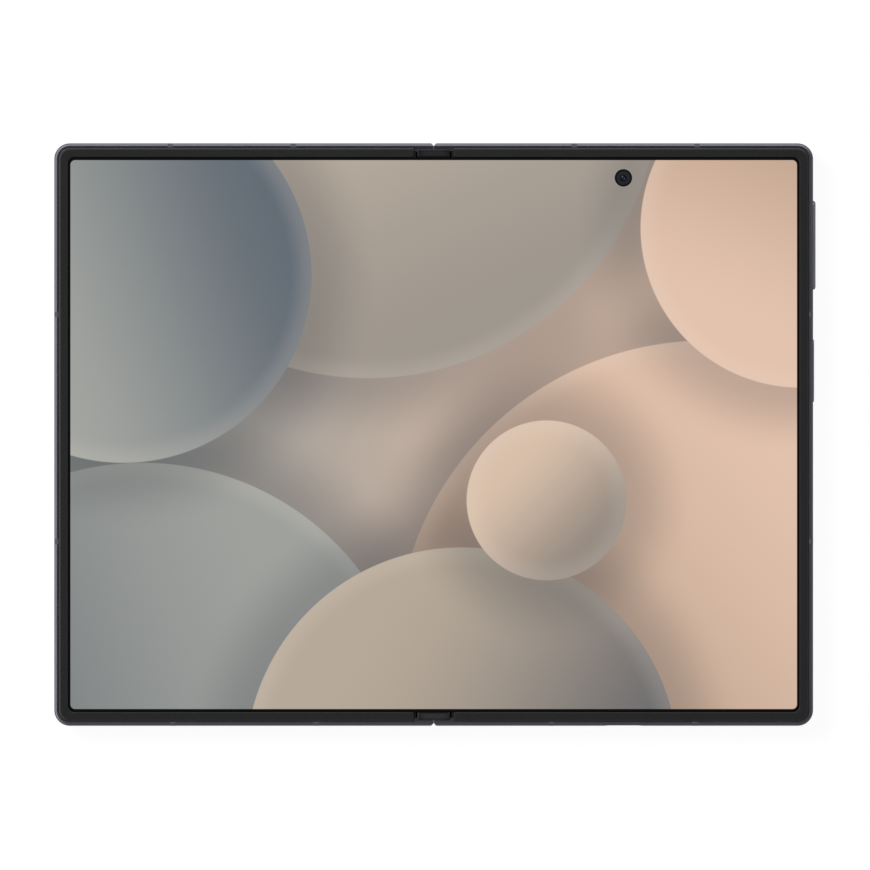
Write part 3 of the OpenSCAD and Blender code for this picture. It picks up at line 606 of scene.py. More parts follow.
for name, side in SIDES.items():
    mesh = sheet_half(sheet_edge).mesh("sheet")
    if name == "right":
        mesh = carve(mesh, hole)
    layer = mesh.uv_layers.new(name=SCREEN_MAP)
    for loop in mesh.loops:
        spot = mesh.vertices[loop.vertex_index].co
        layer.data[loop.index].uv = (side * spot.x / UV_SPAN + 0.5, spot.y / UV_SPAN + 0.5)
    piece = phone_piece(f"flexible_screen_{name}", mesh, [screen_film], side)
    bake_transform(piece)
    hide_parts(f"display_panel_{name}", f"display_fold_{name}")

# --------------------------------------------------------------- inner camera
# A small camera looks through a hole in the screen: a black masking ring, a dark recessed
# face, and a coated glass lens in the middle. Its barrel and square body sit underneath.
camera_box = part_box("inner_camera")


def turned(cx, cy, profile, steps=12):
    """Rings of a part turned on a lathe, from (radius, height) points; its first and last rings close it."""
    return [lifted(disc(cx, cy, r, steps), z) for r, z in profile]


def dome(radius, z, rise):
    """The profile of a lens: a shallow cap that rises, or with a negative rise falls, to its middle."""
    return [(radius * k / 8 + 0.01, z + rise * (1 - (k / 8) ** 2)) for k in range(8, -1, -1)]


def coated_lens(name, cx, cy, radius, painted_reflections, deep=(16, 17, 24)):
    """Glass with painted reflections: faint coloured spots where its coatings would catch the light,
    and darker towards its edge. Each painted reflection is a place on the lens as shares of its
    radius, a spread and a colour."""
    glass = Finish(name)
    x, y, _ = glass.parts(glass.place())
    colour = paint(*deep)
    for tx, ty, spread, reflected_colour in painted_reflections:
        dx = x - (cx + tx * radius) * MM
        dy = y - (cy + ty * radius) * MM
        far = (dx * dx + dy * dy) ** 0.5
        # painted reflection: a coloured spot mixed into the glass's own colour
        colour = glass.mix(glass.step(far, 0, spread * radius * MM, 1, 0), colour, paint(*reflected_colour))
    dx = x - cx * MM
    dy = y - cy * MM
    rim = glass.step((dx * dx + dy * dy) ** 0.5, radius * 0.55 * MM, radius * MM)
    return glass.surface(Base_Color=glass.mix(rim, colour, paint(6, 6, 8)), Roughness=0.06,
                         Coat_Weight=1.0, Coat_Roughness=0.03)


def black_glass(name, shade, gloss=0.08):
    glass = Finish(name)
    haze = glass.noise(700, 2)
    dark = tuple(max(c - 6, 0) for c in shade)
    return glass.surface(Base_Color=glass.mix(haze, paint(*dark), paint(*shade)),
                         Roughness=gloss + haze * 0.04, Specular_IOR_Level=0.3)


mask_ring = black_glass("camera_mask", (12, 12, 14), 0.2)
camera_face = black_glass("camera_face", (36, 36, 39), 0.25)
# painted reflections: blue and violet spots on the inner lens
camera_lens = coated_lens("inner_lens", punch[0], punch[1], 0.7,
                          ((-0.35, 0.35, 0.5, (74, 92, 126)), (0.35, -0.35, 0.55, (66, 62, 104))),
                          (20, 21, 26))
camera = Solid()
ring_top = panel_top - 0.03
camera.skin(turned(*punch, [(1.8, ring_top - 0.5), (1.8, ring_top - 0.03), (1.77, ring_top),
                            (1.56, ring_top), (1.52, ring_top - 0.04), (1.5, ring_top - 0.12),
                            (1.5, ring_top - 0.2)]))
camera.skin(turned(*punch, [(1.51, ring_top - 0.3), (1.51, ring_top - 0.13), (0.8, ring_top - 0.12),
                            (0.76, ring_top - 0.15), (0.76, ring_top - 0.3)]), coat=1)
camera.skin(turned(*punch, [(0.74, ring_top - 0.4)] + dome(0.74, ring_top - 0.15, 0.05)), coat=2)
body_half = (camera_box[1].x - camera_box[0].x) / 2 / MM
body_low = camera_box[0].z / MM - back_z
for (z0, z1, half) in ((body_low, shelf_z - 0.2, body_half), (shelf_z - 0.25, ring_top - 0.45, 1.8)):
    camera.skin([lifted(outline(punch[0] - half + e, punch[1] - half + e, punch[0] + half - e,
                                punch[1] + half - e, 0.4), z)
                 for z, e in ((z0, 0.1), (z0 + 0.1, 0), (z1 - 0.1, 0), (z1, 0.1))])
piece = phone_piece("inner_camera_unit", camera.mesh("camera"), [mask_ring, camera_face, camera_lens])
fit(piece, "right_half", "lens", "inner_camera")

# ------------------------------------------------------------------- end caps
# A small moulded cap closes each end of the hinge beside the screen. It has a raised lip
# along its outer side and a shallow hollow face, and is pressed into the spine cover. Its colour
# is painted darker towards its sides and its screen side: painted shade of the hollow.
cap_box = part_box("end_caps")
cap_half = cap_box[1].x / MM
cap_out = cap_box[1].y / MM
cap_in = fold_y + 0.05
cap_low = cap_box[0].z / MM - back_z
cap_top = cap_box[1].z / MM - back_z
cap_plastic = Finish("moulded_cap")
cap_x, cap_y, _ = cap_plastic.parts(cap_plastic.place())
# painted shade: the cap is darker towards its sides and along its screen side
painted_hollow_shade = cap_plastic.step(cap_x.size(), 0.0018, 0.0031).at_least(
    cap_plastic.step(cap_y.size(), 0.0597, 0.0591))
tooth = cap_plastic.noise(11000, 4)
cap_plastic.surface(
    Base_Color=cap_plastic.mix(painted_hollow_shade, paint(32, 32, 34), paint(14, 14, 15)),
    Roughness=0.3 + tooth * 0.1, Specular_IOR_Level=0.35, Normal=cap_plastic.bump(tooth, 0.000004))
caps = Solid()
for sign in (1, -1):
    levels = ((cap_low, 0.5, 0, 0.5), (cap_top - 0.75, 0.5, 0, 0.5), (cap_top - 0.72, 0, 0, 0),
              (cap_top - 0.08, 0, 0, 0), (cap_top - 0.03, 0.02, 0.02, 0.02), (cap_top, 0.08, 0.06, 0.08),
              (cap_top, 0.38, 0.08, 0.3), (cap_top - 0.03, 0.42, 0.1, 0.34),
              (cap_top - 0.13, 0.46, 0.12, 0.38), (cap_top - 0.16, 0.5, 0.14, 0.42))
    rings = []
    for z, side_in, screen_in, outer_in in levels:
        ring = outline(side_in - cap_half, cap_in + screen_in, cap_half - side_in, cap_out - outer_in, 0.16)
        rings.append([(x, sign * y, z - (0.16 * max(1 - (y - cap_in) / 0.6, 0) if z > cap_top - 0.2 else 0))
                      for x, y in ring])
    caps.skin(rings)
piece = phone_piece("hinge_end_caps", caps.mesh("caps"), [cap_plastic])
fit(piece, "spine", "bezel_plastic", "end_caps")

# ---------------------------------------------------------------- spine cover
# The hinge is backed by one long extruded trough, round on the outside, dark anodised and
# closed at both ends. Notches in its rim let the hinge arms and the flex cables pass.
spine_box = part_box("hinge_spine")
spine_y = spine_box[1].y / MM
spine_r = axis_z - (spine_box[0].z / MM - back_z)
spine_rim = spine_box[1].z / MM - back_z
spine_wall = 0.5
module_y = 42.0
tongue_y = 5.5
flex_y = 13.0
arm_low_z = spine_rim - 0.75


def trough(r, top):
    """Section across the hinge: two arcs about the fold axes, joined flat below and cut off above."""
    rise = math.degrees(math.asin((top - axis_z) / r))
    right = arc(axis_x, axis_z, r, r, rise, -90, 24)
    return right + [(-x, z) for x, z in reversed(right)]


shell = []
for s in (0, 0.03, 0.09, 0.18, 0.3):
    drop = end_drop(s, 0.3)
    shell.append([(x, s - spine_y, z) for x, z in trough(spine_r - drop, spine_rim - drop)])
shell += [[(x, -y, z) for x, y, z in ring] for ring in reversed(shell)]
channel_y = spine_y - spine_wall
cuts = Solid().skin([[(x, y, z) for x, z in trough(spine_r - spine_wall, top_z)]
                     for y in (-channel_y, channel_y)])
spine = carve(Solid().skin(shell).mesh("spine"), cuts)
notches = Solid()
for m in (-1, 1):
    for s in (-1, 1):
        for y, w in ((m * module_y + s * tongue_y, 4.3), (m * module_y + 1.1, 2.7)):
            x0, x1 = sorted((s * 1.5, s * 6))
            notches.skin([lifted(outline(x0, y - w / 2, x1, y + w / 2, 0.1), z)
                          for z in (arm_low_z - 0.15, top_z)])
    notches.skin([lifted(outline(-9, m * flex_y - 4.2, 9, m * flex_y + 4.2, 0.3), z)
                  for z in (spine_rim - 0.3, top_z)])
spine = carve(spine, notches)
spine_metal = satin_metal("anodised_spine", paint(70, 71, 79), 0.34)
piece = phone_piece("spine_cover", spine, [spine_metal])
fit(piece, "spine", "spine_metal", "hinge_spine")

# ------------------------------------------------------------ hinge mechanism
# Two steel hinge modules sit in the spine. Curved tongues on the halves' brackets ride in
# curved slots, and small gears turn both halves together. The parts are sintered steel, the
# idler gears brass, and the brackets are screwed to the shelves from above.


def machined(name, colour, roughness, along):
    """Bare machined metal, with fine cutter marks that run along one direction."""
    metal = Finish(name)
    marks = metal.node("ShaderNodeMapping", None, {
        "Vector": metal.place(), "Scale": tuple(60 if k == along else 9000 for k in range(3))})
    lines = metal.noise(1, 3, marks)
    patch = metal.noise(400, 2)
    deep = tuple(c * 0.75 for c in colour[:3]) + (1,)
    return metal.surface(Base_Color=metal.mix(lines * 0.5 + patch * 0.5, deep, colour), Metallic=1.0,
                         Roughness=roughness + lines * 0.12, Normal=metal.bump(lines, 0.000004))


hinge_steel = machined("sintered_steel", paint(168, 170, 175), 0.3, 1)
plate_steel = machined("rolled_steel", paint(178, 179, 183), 0.26, 1)
gear_brass = machined("gear_brass", paint(196, 164, 96), 0.28, 1)
dress(["hinge_blocks", "gear_shafts", "hinge_brackets_right", "hinge_brackets_left",
       "sync_arms_right", "sync_arms_left"], hinge_steel)
dress(["wing_plate_right", "wing_plate_left", "display_plate_right", "display_plate_left"], plate_steel)


class Recipe:
    """A Geometry Nodes tree with named sizes, run once on an empty mesh."""

    def __init__(self, name, **sizes):
        self.tree = bpy.data.node_groups.new(name, "GeometryNodeTree")
        self.tree.interface.new_socket("Geometry", in_out="OUTPUT", socket_type="NodeSocketGeometry")
        self.sizes = sizes
        self.inputs = {}
        for size, value in sizes.items():
            kind = "NodeSocketInt" if isinstance(value, int) else "NodeSocketFloat"
            self.inputs[size] = self.tree.interface.new_socket(size, in_out="INPUT", socket_type=kind)
        self.entry = self.tree.nodes.new("NodeGroupInput")

    def node(self, kind, settings=None, sockets=None, out=0):
        made = self.tree.nodes.new(kind)
        for key, value in (settings or {}).items():
            setattr(made, key, value)
        for key, value in (sockets or {}).items():
            links = value if isinstance(value, list) else [value]
            for link in links:
                if isinstance(link, bpy.types.NodeSocket):
                    self.tree.links.new(link, made.inputs[key])
                else:
                    made.inputs[key].default_value = link
        return made.outputs[out]

    def size(self, name):
        return self.entry.outputs[name]

    def vector(self, x=0.0, y=0.0, z=0.0):
        return self.node("ShaderNodeCombineXYZ", None, {0: x, 1: y, 2: z})

    def times(self, a, b):
        return self.node("ShaderNodeMath", {"operation": "MULTIPLY"}, {0: a, 1: b})

    def minus(self, a, b):
        return self.node("ShaderNodeMath", {"operation": "SUBTRACT"}, {0: a, 1: b})

    def mesh(self, geometry, finish):
        """Ends the tree with its finish and turns what it makes into a plain mesh."""
        real = self.node("GeometryNodeRealizeInstances", None, {0: geometry})
        dressed = self.node("GeometryNodeSetMaterial", None, {"Geometry": real, "Material": finish.material})
        end = self.tree.nodes.new("NodeGroupOutput")
        self.tree.links.new(dressed, end.inputs[0])
        holder = bpy.data.objects.new("holder", bpy.data.meshes.new("holder"))
        bpy.context.scene.collection.objects.link(holder)
        run = holder.modifiers.new("run", "NODES")
        run.node_group = self.tree
        for size, value in self.sizes.items():
            run[self.inputs[size].identifier] = value
        seen = holder.evaluated_get(bpy.context.evaluated_depsgraph_get())
        made = bpy.data.meshes.new_from_object(seen)
        bpy.data.objects.remove(holder)
        return made


screw_pitch = 7.0


def screw_row(x, y, z):
    """Three flat screw heads in a row along the hinge, each with a round edge and a cross recess."""
    row = Recipe("screw_row", Count=3, Pitch=screw_pitch, Radius=0.95, Height=0.2, Slot=0.22)
    radius = row.size("Radius")
    height = row.size("Height")
    head = row.node("GeometryNodeMeshCone", None, {
        "Vertices": 32, "Radius Top": row.times(radius, 0.9), "Radius Bottom": radius,
        "Depth": height, "Side Segments": 1})
    stem = row.node("GeometryNodeMeshCylinder", None,
                    {"Vertices": 24, "Radius": row.times(radius, 0.5), "Depth": 1.7})
    stem = row.node("GeometryNodeTransform", None, {"Geometry": stem, "Translation": (0, 0, -0.84)})
    slot = row.vector(row.times(radius, 1.2), row.size("Slot"), height)
    bar = row.node("GeometryNodeMeshCube", None, {"Size": slot})
    bar = row.node("GeometryNodeTransform", None, {"Geometry": bar, "Translation": (0, 0, 0.24)})
    turned_bar = row.node("GeometryNodeTransform", None,
                          {"Geometry": bar, "Rotation": (0, 0, math.pi / 2)})
    cross = row.node("GeometryNodeMeshBoolean", {"operation": "UNION", "solver": "EXACT"},
                     {"Mesh 2": [bar, turned_bar]})
    screw = row.node("GeometryNodeMeshBoolean", {"operation": "DIFFERENCE", "solver": "EXACT"},
                     {"Mesh 1": head, "Mesh 2": cross})
    both = row.node("GeometryNodeJoinGeometry", None, {0: [screw, stem]})
    line = row.node("GeometryNodeMeshLine", None, {
        "Count": row.size("Count"), "Start Location": (x, y - screw_pitch, z),
        "Offset": row.vector(0.0, row.size("Pitch"), 0.0)})
    return row.mesh(row.node("GeometryNodeInstanceOnPoints", None, {"Points": line, "Instance": both}),
                    hinge_steel)


gear_teeth = 10
gear_len = 2.4
gear_tooth = ((0.5, -0.09), (0.85, -0.035), (0.85, 0.035), (0.5, 0.09))
gear_levels = ((0, 0.95), (0.05, 1), (gear_len - 0.1, 1), (gear_len - 0.05, 0.95))
for name, side in SIDES.items():
    low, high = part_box(f"idler_gears_{name}")
    hub_x = side * (low.x + high.x) / 2 / MM
    hub_z = (low.z + high.z) / 2 / MM - back_z
    first = 180 / gear_teeth if name == "right" else 0
    spots = []
    for i in range(gear_teeth):
        turn = math.radians(first + 360 / gear_teeth * i)
        for r, half in gear_tooth:
            spots.append((r * math.cos(turn) - half * math.sin(turn),
                          r * math.sin(turn) + half * math.cos(turn)))
    gears = Solid()
    for edge in (low.y / MM, high.y / MM - gear_len):
        gears.skin([[(hub_x + u * size, edge + y, hub_z + v * size) for u, v in spots]
                    for y, size in gear_levels])
    bore = Solid().skin([[(hub_x + u, y, hub_z + v) for u, v in disc(0, 0, 0.3, 4)] for y in (-60, 60)])
    piece = phone_piece(f"timing_gears_{name}", carve(gears.mesh("gears"), bore), [gear_brass], side)
    fit(piece, f"idler_{name}", "brass", f"idler_gears_{name}")

screw_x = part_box("hinge_brackets_right")[1].x / MM - 1.0
screw_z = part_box("bracket_screws_right")[1].z / MM - back_z - 0.1
for name, side in SIDES.items():
    rows = [screw_row(screw_x, m * module_y, screw_z) for m in (-1, 1)]
    piece = phone_piece(f"hinge_screws_{name}", joined(rows, "screws"), [hinge_steel], side)
    fit(piece, f"{name}_half", "steel", f"bracket_screws_{name}")

# ---------------------------------------------------------------- flex cables
# Two thin polyimide cables carry the signals across the hinge. Their middles are free and make
# a loop behind the wing plates as the phone shuts. Copper tracks show through the amber film.
film = Finish("polyimide_film")
tracks = film.node("ShaderNodeTexWave", {"wave_type": "BANDS", "bands_direction": "Y"},
                   {"Vector": film.place(), "Scale": 900, "Distortion": 0.0}, "Fac")
film.surface(Base_Color=film.mix(tracks, paint(150, 84, 24), paint(196, 122, 48)),
             Roughness=0.3 + tracks * 0.1, Coat_Weight=0.4, Normal=film.bump(tracks, 0.000006))
flex_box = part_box("hinge_flex")
flex_low = flex_box[0].z / MM - back_z
flex_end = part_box("flex_right")[0].x / MM + 0.1
flex_half_w = 4.0
flex_step = 0.2
for name, side in SIDES.items():
    strips = Solid()
    for m in (-1, 1):
        rings = []
        for x in [flex_step * i for i in range(int(flex_end / flex_step) + 1)] + [flex_end]:
            rings.append([(x, m * flex_y + y, z) for y, z in
                          outline(-flex_half_w, flex_low, flex_half_w, flex_low + 0.1, 0.045, 2)])
        strips.skin(rings)
    piece = phone_piece(f"hinge_flex_{name}", strips.mesh("strips"), [film], side)
    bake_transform(piece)
    if name == "right":
        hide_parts("hinge_flex")
dress(["flex_right", "flex_left"], film)

# ----------------------------------------------------------------------- keys
# The long volume key and the short side key are machined from the rail's metal, with the same
# finish but a lighter colour that is painted light, and stand a little proud. Small pegs on their
# backs press the switches.
# painted light: the keys' metal is a lighter copy of the rail's colour
painted_light_key_metal = satin_metal("anodised_key_painted_light", paint(158, 159, 169), 0.4)
key_body = {"volume_key": "volume_rocker", "side_key": "side_button"}
key_pegs = {"volume_key": (-5.5, 5.5), "side_key": (0.0,)}
for name, (low, high) in key_boxes.items():
    middle = (low.y + high.y) / 2 / MM
    length = (high.y - low.y) / MM
    face = high.x / MM + 0.09
    key_round = 0.85 * (face - half_w)
    root = half_w - 1.35
    rings = []
    for x, inset in ([(root, 0.12), (root + 0.1, 0.02)]
                     + [(face - key_round + key_round * math.sin(math.radians(a)),
                         0.02 + key_round * (1 - math.cos(math.radians(a)))) for a in range(0, 91, 15)]):
        w = key_w / 2 - inset
        rings.append([(x, y, z) for y, z in outline(middle - length / 2 + inset, key_z - w,
                                                    middle + length / 2 - inset, key_z + w, w - 0.01, 12)])
    key = Solid().skin(rings)
    for peg in key_pegs[name]:
        key.skin([[(x, y, z) for y, z in disc(middle + peg, key_z, r)]
                  for x, r in ((low.x / MM + 0.03, 0.15), (low.x / MM + 0.07, 0.32),
                               (low.x / MM + 0.15, 0.45), (root + 0.2, 0.45))])
    if name == "volume_key":
        key.skin([lifted(disc(root, middle, 0.3, 4), z) for z in (key_z - 0.75, key_z + 0.75)])
    piece = phone_piece(f"{name}_cap", key.mesh("key"), [painted_light_key_metal])
    fit(piece, key_body[name], "frame_metal", name)

# ----------------------------------------------------------------- rear glass
# The back of the right half is one sheet of etched glass, frosted to a satin sheen over a grey
# coating, with a fine round edge. It is glued in the rail and cut out for the camera island.
island_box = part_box("camera_island")
island_x = (island_box[0].x + island_box[1].x) / 2 / MM
island_y = (island_box[0].y + island_box[1].y) / 2 / MM
island_w = (island_box[1].x - island_box[0].x) / MM
island_len = (island_box[1].y - island_box[0].y) / MM
ring_low = island_box[0].z / MM - back_z
glass_x0 = half_gap + 1.55
glass_x1 = half_w - rail_show - 0.05
glass_y1 = half_h - rail_show - 0.05
edge_r = 0.3


def pill(cx, cy, width, length, steps=16):
    return outline(cx - width / 2, cy - length / 2, cx + width / 2, cy + length / 2, width / 2 - 0.002, steps)


def glass_sheet():
    """A sheet of glass for one half, with its outer face at the back and a round edge."""
    rings = []
    for a in range(0, 91, 15):
        inset = edge_r * (1 - math.sin(math.radians(a)))
        z = edge_r * (1 - math.cos(math.radians(a)))
        rings.append(lifted(outline(glass_x0 + inset, inset - glass_y1, glass_x1 - inset, glass_y1 - inset,
                                    (0.6, 2.4 - inset / 2, 2.4 - inset / 2, 0.6), 12), z))
    rings.append(lifted(outline(glass_x0, -glass_y1, glass_x1, glass_y1, (0.6, 2.4, 2.4, 0.6), 12),
                        glass_t - 0.02))
    return Solid().skin(rings)


frosted = Finish("frosted_back_glass")
etch = frosted.noise(16000, 4)
depth = frosted.noise(25, 2)
frosted.surface(Base_Color=frosted.mix(depth, paint(84, 86, 94), paint(98, 100, 108)), Metallic=0.35,
                Roughness=0.34 + etch * 0.08, Coat_Weight=0.25, Coat_Roughness=0.25,
                Normal=frosted.bump(etch, 0.000003))
opening = Solid().skin([lifted(pill(island_x, island_y, island_w - 2, island_len - 2), z) for z in (-2, 2)])
piece = phone_piece("back_glass", carve(glass_sheet().mesh("glass"), opening), [frosted])
fit(piece, "right_half", "glass_back", "rear_glass")

# --------------------------------------------------------------- cover screen
# The back of the left half is the cover screen: clear glass over a black display, off at
# rest, with a hole in its black mask for the cover camera.
cover_cam = [c / 2 / MM for c in (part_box("cover_camera")[0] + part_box("cover_camera")[1])]
cam_x = -cover_cam[0]
cam_y = cover_cam[1]
cover_black = Finish("cover_glass_black")
gx, gy, _ = cover_black.parts(cover_black.place())
far_x = gx + cam_x * MM
far_y = gy - cam_y * MM
camera_far = (far_x * far_x + far_y * far_y) ** 0.5
mid_x = (gx + half_w / 2 * MM).size() - (half_w / 2 - 4.4) * MM
mid_y = gy.size() - (half_h - 3.0) * MM
panel_share = cover_black.step(mid_x.at_least(mid_y), -0.0001, 0.0001, 1, 0)
smear = cover_black.noise(120, 3)
cover_black.surface(
    Base_Color=cover_black.mix(panel_share, paint(7, 7, 8), paint(13, 13, 15)),
    Roughness=0.07 + smear * 0.05, Alpha=cover_black.step(camera_far, 0.0019, 0.00195, 0.12, 1),
    Specular_IOR_Level=0.3, Coat_Weight=0.2, Coat_Roughness=0.05)
piece = phone_piece("cover_screen_glass", glass_sheet().mesh("glass"), [cover_black], -1)
fit(piece, "left_half", "glass_black", "cover_glass")

panel_off = Finish("display_sheet_off")
weave = panel_off.noise(4000, 1)
panel_off.surface(Base_Color=panel_off.mix(weave, paint(14, 14, 17), paint(22, 22, 26)), Roughness=0.4)
dress(["cover_display"], panel_off)
# painted reflections: blue and violet spots on the cover lens
cover_lens = coated_lens("cover_lens", -cam_x, cam_y, 0.9,
                         ((-0.3, 0.3, 0.55, (70, 92, 130)), (0.35, -0.35, 0.6, (80, 60, 110))))
unit = Solid()
unit.skin(turned(cam_x, cam_y, [(2.3, 1.4), (2.3, glass_t + 0.03), (2.27, glass_t), (1.5, glass_t),
                                (1.3, glass_t + 0.1), (1.1, glass_t + 0.32), (1.0, glass_t + 0.34)]))
unit.skin(turned(cam_x, cam_y, [(0.98, 1.3)] + dome(0.96, glass_t + 0.34, -0.12)), coat=1)
cover_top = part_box("cover_camera")[1].z / MM - back_z
unit.skin([lifted(outline(cam_x - 3.2 + e, cam_y - 3.2 + e, cam_x + 3.2 - e, cam_y + 3.2 - e, 0.5), z)
           for z, e in ((1.0, 0.1), (1.1, 0), (cover_top - 0.1, 0), (cover_top, 0.1))])
piece = phone_piece("cover_camera_unit", unit.mesh("unit"), [mask_ring, cover_lens], -1)
fit(piece, "left_half", "lens", "cover_camera")

# -------------------------------------------------------------- camera island
# A milled metal pill holds two big lenses, each in a turned ring with a polished bevel. The
# flash sits between them, with a pinhole on each side. It is glued in the rear glass.
ring_r = 6.6
window_r = 5.2
lens_y = [island_y + s * (island_len - island_w) / 2 for s in (-1, 1)]
plate_low = -1.6
island = []
for z, inset in ((glass_t, 1.05), (-0.02, 1.05), (-0.03, 0.03), (-0.1, 0), (plate_low + 0.45, 0)):
    island.append((z, inset))
island += [(plate_low + 0.45 - 0.45 * math.sin(math.radians(a)), 0.45 * (1 - math.cos(math.radians(a))))
           for a in range(15, 91, 15)]
plate = Solid().skin([lifted(pill(island_x, island_y, island_w - 2 * inset, island_len - 2 * inset), z)
                      for z, inset in island])
bores = Solid()
for y in lens_y:
    bores.skin(turned(island_x, y, [(window_r, 3), (window_r, -3)], 16))
bores.skin(turned(island_x, island_y, [(1.65, 3), (1.65, -3)], 12))
for x in (island_x + 4.6, island_x - 4.6):
    bores.skin(turned(x, island_y, [(0.35, -1.2), (0.35, -3)], 6))
island_metal = satin_metal("anodised_island", paint(104, 106, 114), 0.3)
piece = phone_piece("camera_island_plate", carve(plate.mesh("island"), bores), [island_metal])
fit(piece, "right_half", "frame_metal", "camera_island")

polished = satin_metal("polished_ring", paint(128, 129, 136), 0.16)
rings = Solid()
for y in lens_y:
    profile = [(window_r, 0.3), (window_r, ring_low + 0.34), (window_r + 0.06, ring_low + 0.3),
               (window_r + 0.5, ring_low + 0.06), (window_r + 0.62, ring_low), (ring_r - 0.35, ring_low),
               (ring_r - 0.2, ring_low + 0.04), (ring_r - 0.06, ring_low + 0.16), (ring_r, ring_low + 0.32),
               (ring_r, plate_low + 0.05), (ring_r + 0.12, plate_low - 0.005), (ring_r + 0.12, -1.2),
               (ring_r - 0.3, 0.3)]
    rings.skin(turned(island_x, y, profile, 16), loop=True)
piece = phone_piece("lens_rings", rings.mesh("rings"), [polished])
fit(piece, "right_half", "frame_metal")

# -------------------------------------------------------------- rear lenses
# Each camera has a flat sapphire window with a black printed margin. Behind it the turned
# barrel steps down in dark rings to the coated front lens.
window_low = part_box("camera_windows")[0].z / MM - back_z
windows = Finish("lens_window")
wx, wy, _ = windows.parts(windows.place())
clear = None
for y in lens_y:
    dx = wx - island_x * MM
    dy = wy - y * MM
    near = windows.step((dx * dx + dy * dy) ** 0.5, 0.0036, 0.00366, 1, 0)
    clear = near if clear is None else clear + near
haze = windows.noise(300, 2)
windows.surface(Base_Color=paint(8, 8, 10), Roughness=0.04 + haze * 0.03, Alpha=1 - clear * 0.9,
                Coat_Weight=0.6, Coat_Roughness=0.03)
panes = Solid()
for y in lens_y:
    panes.skin(turned(island_x, y, [(window_r - 0.03, window_low + 0.5), (window_r - 0.03, window_low + 0.06),
                                    (window_r - 0.09, window_low)], 16))
piece = phone_piece("lens_windows", panes.mesh("panes"), [windows])
fit(piece, "right_half", "lens", "camera_windows")

barrel_black = Finish("barrel_black")
turning = barrel_black.noise(6000, 2)
barrel_black.surface(Base_Color=barrel_black.mix(turning, paint(16, 16, 18), paint(30, 30, 33)),
                     Roughness=0.35 + turning * 0.15)
module_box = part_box("camera_modules")
module_top = module_box[1].z / MM - back_z
dome_r = (2.5, 2.2)
barrels = Solid()
barrel_low = module_box[0].z / MM - back_z
for k, y in enumerate(lens_y):
    steps_in = [(4.6, glass_t + 0.5), (4.6, barrel_low), (3.7, barrel_low), (3.6, barrel_low + 0.2),
                (3.35, barrel_low + 0.22), (3.25, barrel_low + 0.42), (3.0, barrel_low + 0.44),
                (2.9, barrel_low + 0.64), (dome_r[k] + 0.1, barrel_low + 0.66),
                (dome_r[k] + 0.02, barrel_low + 0.8), (dome_r[k], barrel_low + 1.5)]
    barrels.skin(turned(island_x, y, steps_in, 16))
    barrels.skin(turned(island_x, y, [(dome_r[k] + 0.01, barrel_low + 1.45)]
                        + dome(dome_r[k], barrel_low + 0.95, -0.4), 16), coat=1 + k)
    barrels.skin([lifted(outline(island_x - 6 + e, y - 6 + e, island_x + 6 - e, y + 6 - e, 0.6), z)
                  for z, e in ((glass_t + 0.4, 0.1), (glass_t + 0.5, 0), (module_top - 0.1, 0),
                               (module_top, 0.1))])
# painted reflections: coloured spots on the two rear lenses where their coatings would catch the light
painted_reflections = (((-0.3, 0.35, 0.6, (60, 96, 150)), (0.35, -0.3, 0.65, (96, 60, 130))),
         ((0.3, 0.35, 0.6, (54, 110, 118)), (-0.35, -0.3, 0.65, (92, 70, 140))))
lens_glass = [coated_lens(f"rear_lens_{k}", island_x, y, dome_r[k], painted_reflections[k]) for k, y in enumerate(lens_y)]
piece = phone_piece("rear_cameras", barrels.mesh("barrels"), [barrel_black] + lens_glass)
fit(piece, "right_half", "black_plastic", "camera_modules")

# ---------------------------------------------------------------------- flash
# The flash is a moulded clear plastic lens with fine concentric ribs over a yellow emitter. It
# is pressed into the middle hole of the camera island.
flash_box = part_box("flash_lens")
flash_low = flash_box[0].z / MM - back_z
flash_glass = Finish("flash_lens_plastic")
fx, fy, _ = flash_glass.parts(flash_glass.place())
fdx = fx - island_x * MM
fdy = fy - island_y * MM
flash_far = (fdx * fdx + fdy * fdy) ** 0.5
glow = flash_glass.step(flash_far, 0.0003, 0.0011, 1, 0)
flash_glass.surface(Base_Color=flash_glass.mix(glow, paint(226, 224, 214), paint(238, 214, 120)),
                    Roughness=0.18 + flash_glass.noise(900) * 0.05, Coat_Weight=0.5)
ribs = Recipe("flash_ribs", Count=6, First=0.25, Step=0.2, Thick=0.05)
line = ribs.node("GeometryNodeMeshLine", None, {"Count": ribs.size("Count"), "Offset": (0, 0, 0)})
number = ribs.node("GeometryNodeInputIndex")
radius = ribs.node("ShaderNodeMath", {"operation": "MULTIPLY_ADD"},
                   {0: number, 1: ribs.size("Step"), 2: ribs.size("First")})
circle = ribs.node("GeometryNodeCurvePrimitiveCircle", None, {"Resolution": 48, "Radius": 1.0})
spread = ribs.node("GeometryNodeInstanceOnPoints", None,
                   {"Points": line, "Instance": circle, "Scale": ribs.vector(radius, radius, radius)})
rib_section = ribs.node("GeometryNodeCurvePrimitiveCircle", None,
                        {"Resolution": 8, "Radius": ribs.size("Thick")})
tube = ribs.node("GeometryNodeCurveToMesh", None,
                 {"Curve": ribs.node("GeometryNodeRealizeInstances", None, {0: spread}),
                  "Profile Curve": rib_section})
place = ribs.node("GeometryNodeTransform", None,
                  {"Geometry": tube, "Translation": (island_x, island_y, flash_low + 0.05)})
body = Solid().skin(turned(island_x, island_y, [(1.6, flash_low + 1.4), (1.6, flash_low + 0.14),
                                                (1.5, flash_low + 0.05), (1.35, flash_low + 0.04)], 12))
piece = phone_piece("flash_window", joined([body.mesh("body"), ribs.mesh(place, flash_glass)], "flash"),
                    [flash_glass])
fit(piece, "right_half", "flash", "flash_lens")

